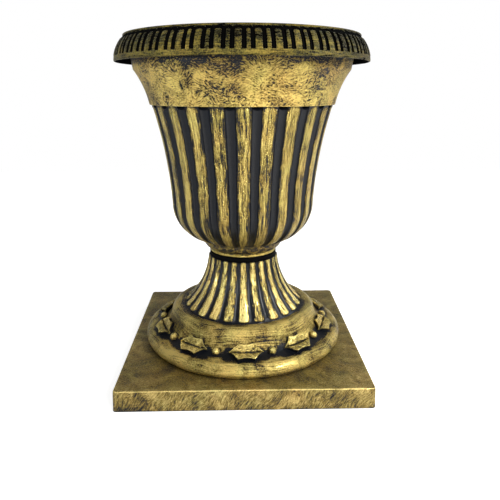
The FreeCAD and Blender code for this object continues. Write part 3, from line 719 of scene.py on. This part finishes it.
def makeBlocks(name, inner, outer, low, high, spread, turn, material):
    # one curved block of the lock for each lug, round the axis
    profile = [(inner, low, 0.0), (outer, low, 0.0), (outer, high, 0.0), (inner, high, 0.0)]
    stations = [spread * (step / 8 - 0.5) for step in range(9)]
    segment = turnedSegment(name, profile, stations, lambda row, angle: (angle, 0.0, None))
    work = bmesh.new()
    work.from_mesh(segment.data)
    bmesh.ops.holes_fill(work, edges=[edge for edge in work.edges if edge.is_boundary])
    work.to_mesh(segment.data)
    work.free()
    return ringOf(segment, lugs["count"], turn, material)


def makeLugs(material):
    inner, outer = foot["spigotRadius"] - lugs["root"], foot["spigotRadius"] + lugs["reach"]
    high = deckTop - deck["thick"] - lugs["gap"]
    return makeBlocks("urnLugs", inner, outer, high - lugs["height"], high, lugs["spread"], 0.0, material)


# reeded stem with the plain collar of the neck
stem = {
    "count": 24, "arc": 0.097, "topRadius": 0.045, "topLevel": 0.1395, "footRadius": 0.0784,
    "footLevel": 0.073, "footDrop": 0.003, "footOut": 0.0002, "footIn": 0.0047, "innerTop": 0.0396,
    "wall": 0.0054, "collar": 0.0434, "collarInner": 0.0402, "collarRoot": 0.0015, "lipRound": 0.0006,
    "grooveTop": 0.0042, "grooveFoot": 0.0068, "grooveDepth": 0.0026, "groovePower": 0.6, "grooveFade": 1.4,
    "crownDrop": 0.0009, "ragged": 0.0024, "endGap": 0.0002, "endRound": 0.0020, "endBelow": 0.0008,
    "endAbove": 0.0012, "topRun": 0.0014,
}


def makeCollar(material):
    edge = stem["lipRound"]
    low = stem["topLevel"] - stem["collarRoot"]
    profile = outlineOf(
        (stem["collarInner"], deckTop, 0.0),
        ((stem["collar"] - edge, deckTop, 0.0), 1),
        ((stem["collar"], deckTop - edge, 0.0), 3, edge, -1),
        ((stem["collar"], low, 0.0), 2),
        ((stem["collarInner"], low, 0.0), 1))
    return plainTurned("urnCollar", profile, material)


def makeStem(material):
    low = stem["footLevel"] - stem["footDrop"]
    top = (stem["topRadius"], stem["topLevel"], 1.0)
    profile = [(stem["collarInner"], stem["topLevel"], 0.0)]
    first = len(profile)
    outside = [top] + arc(top, (stem["footRadius"], stem["footLevel"], 1.0), 120, stem["arc"], 1)
    # close rows at both ends, where the reeds end round
    profile += outside[:6] + outside[6:100:4] + outside[102:]
    last = len(profile)
    inside = outlineOf(
        profile[-1],
        ((stem["footRadius"] + stem["footOut"], low, 0.0), 1),
        ((stem["footRadius"] - stem["footIn"], low, 0.0), 1),
        ((stem["innerTop"], stem["topLevel"], 0.0), 14, stem["arc"] + stem["wall"], -1))
    profile += inside[1:]
    halfPitch = math.pi / stem["count"]
    stations = bothSides(
        reed=(0.0, 0.25, 0.5, 0.7, 0.85, 0.95), groove=(0.0, 0.06, 0.16, 0.32, 0.6, 1.0))

    def reeds(row, station):
        radius, level = profile[row][:2]
        kind, share, side = station
        down = clamped((stem["topLevel"] - level) / (stem["topLevel"] - stem["footLevel"]))
        groove = stretch(stem["grooveTop"], stem["grooveFoot"], down)
        arris = halfPitch - min(groove / 2 / radius, halfPitch * 0.6)
        angle = stretch(0.0, arris, share) if kind == "reed" else stretch(arris, halfPitch, share)
        if not first <= row < last:
            return side * angle, 0.0, None
        rounding = stem["endRound"] * (1 - dome(share if kind == "reed" else 1.0))
        end = stem["footLevel"] + stem["endGap"] + rounding
        overFoot = smooth(-stem["endBelow"], stem["endAbove"], level - end)
        underTop = smooth(stem["endGap"], -stem["topRun"], level - stem["topLevel"] + rounding / 2)
        stand = overFoot * underTop
        if kind == "reed":
            rise = -stem["crownDrop"] * share ** 2
            paint = landPaint((arris - angle) * radius, stem["ragged"])
        else:
            deep = (1 - (1 - share) ** 2) ** stem["groovePower"]
            rise = -stretch(stem["crownDrop"], stem["grooveDepth"], deep)
            paint = hollowPaint(deep, stem["grooveFade"])
        return side * angle, stretch(-stem["grooveDepth"], rise, stand), paint * stand

    segment = turnedSegment("urnStem", profile, stations, reeds)
    return ringOf(segment, stem["count"], 0.0, material)


# round base: shoulder, leaf cove and torus
base = {
    "shoulderTop": 0.0716, "shoulderInner": 0.078, "shoulderRadius": 0.086, "shoulderArc": 0.009,
    "neckRadius": 0.095, "neckLevel": 0.0641, "coveTopRadius": 0.097, "coveTop": 0.0565, "coveArc": 0.030,
    "torusRadius": 0.1295, "torusRound": 0.0093, "torusLevel": 0.0343, "torusTurn": math.radians(48),
    "foot": 0.0239, "plinthTop": 0.0255, "wall": 0.0032, "columns": 32,
}
# leaves lying along the cove, with a berry between each two
leaves = {
    "count": 10, "length": 0.040, "width": 0.0215, "edgeArc": 0.020, "root": 0.0022, "rootShare": 0.97,
    "midProud": 0.0030, "edgeProud": 0.0060, "plump": 0.0009, "groove": 0.0006, "grooveWide": 0.0008,
    "rim": 0.0005, "rimPlace": 0.95, "rimWide": 0.0009, "vein": 0.00015, "veinPitch": 0.0075,
    "veinSlant": 0.8, "tip": 0.0005, "lift": 0.0006, "turn": math.radians(1.2), "rows": 50,
    "corners": ((1.0, 0.0), (0.45, 1.0), (-0.45, 1.0), (-1.0, 0.0)),
    "groovePaint": 0.5, "rimPaint": 0.2, "veinPaint": 0.05, "rootPaint": -0.6,
}
berries = {"radius": 0.0051, "lift": 0.0014, "paint": 0.66, "paintGain": 0.5}
# missed paint and painted shade: a dark belt along the cove, lower at the berries, and a crease round each
# leaf and berry, where the brush missed the hollow and where the leaves and berries shade the cove
bareAndShade = {
    "paint": 0.42, "belt": 0.9,
    "beltTop": (0.0005, 0.006), "topRun": (0.004, 0.011), "topFade": (0.003, -0.004),
    "beltLow": (-0.0065, -0.0105), "lowRun": (0.004, 0.014), "lowFade": (-0.005, 0.003),
    "creaseFade": (0.0036, 0.0012), "creaseUnder": 0.6, "creaseOver": 0.6, "overRun": 0.004,
    "berry": 0.6, "berryShare": 0.8, "berryFade": (0.0032, 0.001), "rowsBeside": 5,
}
torusCentre = base["torusRadius"] - base["torusRound"]
coveFoot = (torusCentre, base["torusLevel"] + base["torusRound"], 0.0)
coveTop = (base["coveTopRadius"], base["coveTop"], 0.0)
coveMiddle = Vector(arc(coveFoot, coveTop, 2, base["coveArc"], -1)[0][:2])
coveUp = (Vector(coveTop[:2]) - Vector(coveFoot[:2])).normalized()
coveOut = Vector((coveUp.y, -coveUp.x))


def leafEdge(share):
    # half width of the leaf at a share of its half length: spikes with hollow edges between
    halfLength, halfWidth = leaves["length"] / 2, leaves["width"] / 2
    for (a, wideA), (b, wideB) in zip(leaves["corners"], leaves["corners"][1:]):
        if a >= share >= b:
            part = (a - share) / (a - b)
            chord = math.hypot((a - b) * halfLength, (wideA - wideB) * halfWidth)
            sag = chord ** 2 / (8 * leaves["edgeArc"])
            return stretch(wideA, wideB, part) * halfWidth - sag * 4 * part * (1 - part)
    return 0.0


def makeBase(material):
    wall, torusRound, torusLevel = base["wall"], base["torusRound"], base["torusLevel"]
    footRadius = torusCentre + math.sqrt(torusRound ** 2 - (torusLevel - base["plinthTop"]) ** 2)
    underRadius = torusCentre + torusRound * math.cos(base["torusTurn"])
    underLevel = torusLevel - torusRound * math.sin(base["torusTurn"])
    profile = outlineOf(
        (base["shoulderInner"], base["shoulderTop"], 0.7),
        ((base["shoulderRadius"], base["shoulderTop"], 1.08), 4),
        ((base["neckRadius"], base["neckLevel"], 0.98), 10, base["shoulderArc"], -1),
        ((*coveTop[:2], 0.95), 8))
    firstBareAndShade = len(profile) - bareAndShade["rowsBeside"]
    profile += arc(profile[-1], (*coveFoot[:2], 1.0), 30, base["coveArc"], 1)
    lastBareAndShade = len(profile) + bareAndShade["rowsBeside"]
    below = outlineOf(
        profile[-1],
        ((base["torusRadius"], torusLevel, 1.05), 12, torusRound, -1),
        ((underRadius, underLevel, 0.95), 6, torusRound, -1),
        ((footRadius, base["plinthTop"], 0.2), 5, torusRound, -1),
        ((footRadius, base["foot"], 0.0), 1),
        ((footRadius - wall, base["foot"], 0.0), 1),
        ((base["torusRadius"] - wall, torusLevel, 0.0), 3),
        ((torusCentre, coveFoot[1] - wall, 0.0), 6, torusRound - wall, 1),
        ((coveTop[0] - wall, coveTop[1] - wall, 0.0), 10, base["coveArc"] + wall, -1),
        ((base["neckRadius"] - wall, base["neckLevel"], 0.0), 1),
        ((base["shoulderRadius"] - wall, base["shoulderTop"] - wall, 0.0), 2),
        ((base["shoulderInner"] - wall, base["shoulderTop"] - wall, 0.0), 1))
    profile += below[1:]
    halfPitch = math.pi / leaves["count"]
    halfLength = leaves["length"] / 2
    columns = base["columns"]
    stations = [halfPitch * column / columns for column in range(-columns, columns + 1)]

    def bareAndShadeRound(row, angle):
        radius, level, relief = profile[row]
        if not firstBareAndShade <= row < lastBareAndShade:
            return angle, 0.0, None
        up = (Vector((radius, level)) - coveMiddle).dot(coveUp) - leaves["lift"]
        toBerry = (halfPitch - abs(angle)) * radius
        top = stretch(*bareAndShade["beltTop"], smooth(*bareAndShade["topRun"], toBerry))
        low = stretch(*bareAndShade["beltLow"], smooth(*bareAndShade["lowRun"], toBerry))
        belt = smooth(*bareAndShade["topFade"], up - top) * smooth(*bareAndShade["lowFade"], up - low) * bareAndShade["belt"]
        share = (angle - leaves["turn"]) * coveMiddle.x / halfLength
        wide = leafEdge(min(max(share, -1.0), 1.0))
        past = max(abs(share) - 1.0, 0.0) * halfLength
        # painted shadow: the dark crease reaches further below each leaf and is weaker above it, where the
        # leaf's shadow falls
        beside = max(abs(up) - wide, 0.0) * (1.0 if up > 0 else bareAndShade["creaseUnder"])
        crease = smooth(*bareAndShade["creaseFade"], math.hypot(past, beside))
        crease *= stretch(1.0, bareAndShade["creaseOver"], smooth(0.0, bareAndShade["overRun"], up))
        offBerry = math.hypot(toBerry, up) - berries["radius"] * bareAndShade["berryShare"]
        berry = smooth(*bareAndShade["berryFade"], offBerry) * bareAndShade["berry"]
        return angle, 0.0, stretch(relief, bareAndShade["paint"], max(belt, crease, berry))

    segment = turnedSegment("urnBase", profile, stations, bareAndShadeRound)
    return ringOf(segment, leaves["count"], 0.0, material)


def onCove(along, up, out):
    # a point beside, above and off the middle of the cove at the front
    place = coveMiddle + coveUp * (up + leaves["lift"]) + coveOut * out
    angle = along / coveMiddle.x
    return (place.x * math.sin(angle), -place.x * math.cos(angle), place.y)


def makeLeaves(material):
    corner = leaves["corners"][1][0]
    evenly = {stretch(1.0, -1.0, step / leaves["rows"]) for step in range(leaves["rows"] + 1)}
    shares = sorted(evenly | {corner, -corner}, reverse=True)
    half = [0.07, 0.16, 0.3, 0.5, 0.7, 0.86, 0.95, 1.0]
    across = [-w for w in reversed(half)] + [0.0] + half
    points, reliefs = [], []
    for share in shares:
        along = share * leaves["length"] / 2
        wide = max(leafEdge(share), leaves["tip"])
        full = 1 - share ** 6
        edgeProud = stretch(leaves["midProud"], leaves["edgeProud"], full)
        for w in across:
            off = w * wide
            groove = math.exp(-(off / leaves["grooveWide"]) ** 2) * full
            border = math.exp(-((abs(w) - leaves["rimPlace"]) * wide / leaves["rimWide"]) ** 2)
            # the two halves rise from the midrib to the edges, as a holly leaf folds
            fold = stretch(leaves["midProud"], edgeProud, abs(w))
            plump = leaves["plump"] * math.sin(math.pi * abs(w)) * full
            wave = math.sin((along - abs(off) * leaves["veinSlant"]) / leaves["veinPitch"] * math.tau)
            vein = leaves["vein"] * wave * full * (1 - abs(w) ** 4)
            out = fold + plump + vein - leaves["groove"] * groove + leaves["rim"] * border
            points.append(onCove(along, off, out))
            paint = leaves["rimPaint"] * border + leaves["veinPaint"] * wave
            reliefs.append(1.0 - leaves["groovePaint"] * groove + paint)
        for w in (1.0, 0.0, -1.0):
            points.append(onCove(along, w * wide * leaves["rootShare"], -leaves["root"]))
            reliefs.append(leaves["rootPaint"])
    loop = len(across) + 3
    faces = facesBetween(len(shares), loop, False, True)
    faces.append(tuple(range(loop)))
    faces.append(tuple(range((len(shares) - 1) * loop, len(shares) * loop)))
    segment = meshObject("urnLeaves", points, faces, relief=reliefs, lively=1.0)
    return ringOf(segment, leaves["count"], leaves["turn"], material)


def makeBerries(material):
    work = bmesh.new()
    bmesh.ops.create_uvsphere(work, u_segments=28, v_segments=18, radius=berries["radius"])
    out = Vector((0.0, -coveOut.x, coveOut.y))
    reliefs = [berries["paint"] + berries["paintGain"] * vert.co.normalized().dot(out) for vert in work.verts]
    bmesh.ops.translate(work, verts=work.verts, vec=Vector(onCove(0.0, 0.0, berries["lift"])))
    mesh = bpy.data.meshes.new("urnBerries")
    work.to_mesh(mesh)
    work.free()
    giveValues(mesh, relief=reliefs, lively=1.0)
    segment = linkedObject("urnBerries", mesh)
    return ringOf(segment, leaves["count"], math.pi / leaves["count"], material)


def makeDeck(material):
    # ring plate under the bowl with the notches that let the lugs through
    opening = []
    half = deck["notchSpread"] / 2
    between = math.tau / lugs["count"] - 2 * half
    for notch in range(lugs["count"]):
        middle = -math.pi / 2 + deck["lockTurn"] + math.tau * notch / lugs["count"]
        opening += [onCircle(deck["notchReach"], middle - half + 2 * half * step / 12) for step in range(13)]
        opening += [onCircle(deck["opening"], middle + half + between * step / 24) for step in range(25)]
    outlines = [circle(deck["radius"], 120), opening]
    return flatPlate("urnDeck", outlines, deckTop - deck["thick"], deckTop, material)


def makeStops(material):
    low = deckTop - deck["thick"] - lugs["height"]
    high = deckTop - deck["stopRoot"]
    turn = deck["lockTurn"] + (deck["notchSpread"] + deck["stopSpread"]) / 2
    return makeBlocks(
        "urnStops", deck["stopInner"], deck["stopOuter"], low, high, deck["stopSpread"], turn, material)


# square plinth: hollow tray with a round opening under the base, and the posts over the pads
plinth = {
    "foot": 0.001, "top": 0.0255, "taper": math.radians(1.5), "corner": 0.004, "innerCorner": 0.003,
    "edge": 0.0018, "edgeSteps": 5, "edgeHighlight": 0.5, "wall": 0.0032, "opening": 0.1200, "quiet": 0.75,
    "sideSteps": 24, "cornerSteps": 6, "postRadius": 0.011, "postPlace": 0.128, "postFoot": 0.002,
    "postRoot": 0.0015,
    "sideRows": ((0.0, 0.6), (0.0008, 0.9), (0.008, 1.0), (0.016, 1.0), (0.0215, 1.02)),  # height, relief
    "rimRows": ((0.0028, 1.08), (0.005, 1.02), (0.009, 1.0)),  # inset, relief
    "topRows": ((0.4, 0.96), (0.75, 0.92), (0.92, 0.86), (1.0, 0.6)),  # share of the way in, relief
}


def squareRow(half, corner, level, relief):
    # points of a rounded square, from its right side round
    sideSteps, cornerSteps = plinth["sideSteps"], plinth["cornerSteps"]
    flat = half - corner
    side = [(half, stretch(-flat, flat, step / sideSteps)) for step in range(sideSteps + 1)]
    side += [onCircle(corner, step / cornerSteps * math.pi / 2, flat, flat) for step in range(1, cornerSteps)]
    points = []
    for quarter in range(4):
        cosine, sine = math.cos(quarter * math.pi / 2), math.sin(quarter * math.pi / 2)
        points += [(x * cosine - y * sine, x * sine + y * cosine, level, relief) for x, y in side]
    return points


def makePlinth(material):
    rows = []
    corner, edge, wall = plinth["corner"], plinth["edge"], plinth["wall"]
    shrink = math.tan(plinth["taper"])
    for height, relief in plinth["sideRows"]:
        rows.append(squareRow(plinthHalf - height * shrink, corner, plinth["foot"] + height, relief))
    topHalf = plinthHalf - (plinth["top"] - plinth["foot"]) * shrink
    for step in range(plinth["edgeSteps"] + 1):
        angle = step / plinth["edgeSteps"] * math.pi / 2
        inset = edge * (1 - math.cos(angle))
        level = plinth["top"] - edge + edge * math.sin(angle)
        # painted highlight: the rounded top edge takes more gold, most at the middle of its round, where it
        # catches the light
        relief = 1.0 + plinth["edgeHighlight"] * math.sin(2 * angle) ** 2
        rows.append(squareRow(topHalf - inset, corner - inset / 2, level, relief))
    quietFrom = len(rows)
    for inset, relief in plinth["rimRows"]:
        rows.append(squareRow(topHalf - inset, corner, plinth["top"], relief))
    square = rows[-1]
    for share, relief in plinth["topRows"]:
        ring = []
        for x, y, level, _ in square:
            far = math.hypot(x, y)
            reach = stretch(far, plinth["opening"], share)
            ring.append((x * reach / far, y * reach / far, level, relief))
        rows.append(ring)
    under = plinth["top"] - wall
    rows.append([(x, y, under, 0.0) for x, y, _, _ in rows[-1]])
    rows.append(squareRow(topHalf - wall, plinth["innerCorner"], under, 0.0))
    rows.append(squareRow(plinthHalf - wall, plinth["innerCorner"], plinth["foot"], 0.0))
    points = [point[:3] for row in rows for point in row]
    reliefs = [point[3] for row in rows for point in row]
    lively = [1.0 if row < quietFrom else plinth["quiet"] for row in range(len(rows)) for _ in square]
    faces = facesBetween(len(rows), len(square), True, True)
    piece = meshObject("urnPlinth", points, faces, relief=reliefs, lively=lively)
    piece.data.materials.append(material)
    closeMesh(piece.data)
    return piece


def makePosts(material):
    place = plinth["postPlace"]
    outlines = [circle(plinth["postRadius"], 40, x, y) for x in (-place, place) for y in (-place, place)]
    return flatPlate("urnPosts", outlines, plinth["postFoot"], plinth["top"] - plinth["postRoot"], material)


# finishes of the pieces

def finishOf(**changes):
    return {**gilding, **changes}


# painted shade: the rim's gold, bright, brown and plastic colours are darker than the other pieces', standing
# in for the dimmer light that falls on the rim
rimShadeFinish = gildedPlastic("gildedPlasticRimShade", finishOf(
    radius=0.145, plastic="#020202", plasticRough=0.8, plasticSheen=0.03, gold="#353210", bright="#978539",
    brown="#1c1a08", strokeWide=0.014, strokeLong=0.0011, full=0.5))
bandFinish = gildedPlastic("gildedPlasticBand", finishOf(
    radius=0.12, gold="#9e8644", bright="#dcc270", brown="#6a5732", strokeWide=0.0030, strokeLong=0.0014,
    swirl=0.022, swirlSize=0.03, strokeGain=1.9, speckGain=0.6, patchGain=1.6, patchSize=0.036, cover=0.79,
    edge=0.04, full=0.45, spotGain=1.1, spotSize=0.036, bristle=0.4))
fluteFinish = gildedPlastic("gildedPlasticFlutes", finishOf(
    gold="#958040", bright="#e4ce7a", strokeWide=0.0016, strokeLong=0.026, strokeGain=2.2, unevenGain=0.8,
    patchGain=0.9, cover=0.765, full=0.6, bristle=1.2, goldRough=0.25))
footFinish = gildedPlastic("gildedPlasticFoot", finishOf(
    radius=0.047, strokeWide=0.006, strokeLong=0.0015, cover=0.79))
stemFinish = gildedPlastic("gildedPlasticStem", finishOf(
    radius=0.06, gold="#b69e50", bright="#fbe89a", strokeWide=0.0015, strokeLong=0.009, strokeGain=1.8,
    unevenGain=0.8, cover=0.73, goldRough=0.24))
# painted shade: the neck collar is bare plastic darkened to near black and matt, standing in for the shade in
# the gap under the bowl's foot
neckShadeFinish = gildedPlastic("gildedPlasticNeckShade", finishOf(
    cover=2.0, plastic="#020202", plasticRough=0.7, plasticSheen=0.05))
baseFinish = gildedPlastic("gildedPlasticBase", finishOf(
    radius=0.11, gold="#86733c", bright="#e0ca7a", brown="#4e3f28", strokeWide=0.03, strokeLong=0.0012,
    patchGain=1.1, cover=0.77, swirl=0.016, swirlSize=0.05, goldRough=0.28))
leafFinish = gildedPlastic("gildedPlasticLeaves", finishOf(
    strokes="flat", slant=(0, 0, -30), cover=0.76, gold="#8f7c40", bright="#f0dc8c", strokeWide=0.0012,
    strokeLong=0.006, goldRough=0.25))
plinthFinish = gildedPlastic("gildedPlasticPlinth", finishOf(
    strokes="flat", slant=(0, -55, 0), cover=0.8, full=0.75, gold="#8a773f", bright="#f4de94",
    brown="#554a2e", strokeWide=0.0013, strokeLong=0.011, strokeGain=1.4, speckGain=0.5, patchGain=1.1,
    edge=0.12, swirl=0.012, lump=0.0002))
innerFinish = gildedPlastic("gildedPlasticInside", finishOf(cover=2.0))
plugRubber = mouldedRubber("plugRubber", "#1b1b1b", 0.0006)
padRubber = mouldedRubber("padRubber", "#2a2a2a", 0.0008)
print("materials ready")

urnFlutes = makeFlutes(fluteFinish)
urnRim = makeRim(rimShadeFinish)
urnBand = makeBand(bandFinish)
urnFoot = makeFoot(footFinish)
bowlPieces = [urnFlutes, urnRim, urnBand, urnFoot, makeFloorPlate(innerFinish), makeLugs(innerFinish)]
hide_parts("bowl")
for piece in bowlPieces:
    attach(piece, "bowl")
print("bowl ready")

urnStem = makeStem(stemFinish)
pedestalPieces = [
    urnStem, makeCollar(neckShadeFinish), makeBase(baseFinish), makeLeaves(leafFinish), makeBerries(leafFinish),
    makeDeck(innerFinish), makeStops(innerFinish), makePlinth(plinthFinish), makePosts(innerFinish)]
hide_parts("pedestal")
for piece in pedestalPieces:
    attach(piece, "pedestal")
print("pedestal ready")

for name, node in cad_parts.items():
    if name.startswith(("drain_plug", "foot_pad")):
        node.data.materials.clear()
        node.data.materials.append(plugRubber if name.startswith("drain_plug") else padRubber)
print("rubber ready")


# stage: pale floor, white behind, soft lights from the right and the front, a weak one on the bowl's left

stage = {
    "floorHalf": 1.6, "floorPaint": (0.9, 0.9, 0.9, 1.0), "floorGlow": 0.75,
    "room": (0.95, 0.97, 1.0, 1.0), "roomLight": 0.3, "white": (1.0, 1.0, 1.0, 1.0),
}


def makeFloor():
    # matt white paint that glows for the camera alone, so that it runs into the white behind
    material = emptyMaterial("paleFloor")
    tree = material.node_tree
    rays = addNode(tree, "ShaderNodeLightPath")
    paint = addNode(tree, "ShaderNodeBsdfDiffuse", {"Color": stage["floorPaint"]})
    lift = addNode(
        tree, "ShaderNodeMath", {0: rays.outputs["Is Camera Ray"], 1: stage["floorGlow"]},
        operation="MULTIPLY")
    glow = addNode(tree, "ShaderNodeEmission", {"Color": stage["white"], "Strength": lift.outputs[0]})
    both = addNode(tree, "ShaderNodeAddShader", {0: paint.outputs[0], 1: glow.outputs[0]})
    addNode(tree, "ShaderNodeOutputMaterial", {0: both.outputs[0]})
    size = stage["floorHalf"]
    corners = [(-size, -size, 0.0), (size, -size, 0.0), (size, size, 0.0), (-size, size, 0.0)]
    floor = meshObject("paleFloor", corners, [(0, 1, 2, 3)])
    floor.data.materials.append(material)


def makeWorld():
    # white behind for the camera, a dim even room for everything else
    world = bpy.data.worlds.new("room")
    scene.world = world
    world.use_nodes = True
    tree = world.node_tree
    tree.nodes.clear()
    rays = addNode(tree, "ShaderNodeLightPath")
    room = addNode(tree, "ShaderNodeBackground", {"Color": stage["room"], "Strength": stage["roomLight"]})
    back = addNode(tree, "ShaderNodeBackground", {"Color": stage["white"], "Strength": 1.0})
    mix = addNode(
        tree, "ShaderNodeMixShader",
        {0: rays.outputs["Is Camera Ray"], 1: room.outputs[0], 2: back.outputs[0]})
    addNode(tree, "ShaderNodeOutputWorld", {0: mix.outputs[0]})


def addSoftLight(name, place, target, size, power, colour, spread=180):
    light = bpy.data.lights.new(name, "AREA")
    light.shape = "RECTANGLE"
    light.size, light.size_y = size
    light.energy = power
    light.spread = math.radians(spread)
    light.color = colour
    lamp = linkedObject(name, light)
    lamp.location = place
    lamp.rotation_euler = (Vector(target) - Vector(place)).to_track_quat("-Z", "Y").to_euler()


view = {
    "lens": 37.3, "sensor": 36.0, "shift": -0.072, "nearest": 0.01,
    "place": (-0.00765, -0.6576, 0.3481), "tilt": math.radians(76.533), "turn": math.radians(-1.479),
}


def addCamera():
    camera = bpy.data.cameras.new("camera")
    camera.lens = view["lens"]
    camera.sensor_width = view["sensor"]
    camera.shift_y = view["shift"]
    camera.clip_start = view["nearest"]
    eye = linkedObject("camera", camera)
    eye.location = view["place"]
    eye.rotation_euler = (view["tilt"], 0.0, view["turn"])
    scene.camera = eye


makeFloor()
makeWorld()
addSoftLight("keyLight", (1.0, -0.85, 1.1), (0, 0, 0.15), (0.5, 0.7), 24.0, (1.0, 0.98, 0.95))
addSoftLight("frontLight", (0.75, -1.35, 0.7), (0, 0, 0.2), (0.7, 0.45), 13.0, (1.0, 1.0, 1.0))
addSoftLight("fillLight", (-1.2, -0.75, 0.5), (0, 0, 0.37), (0.35, 0.25), 0.75, (0.84, 0.92, 1.0), 30)
addSoftLight("sideLight", (1.0, 0.25, 0.95), (0, 0, 0.12), (0.3, 0.8), 4.5, (0.82, 0.91, 1.0))
addCamera()
scene.view_settings.view_transform = "Standard"
print("stage ready")
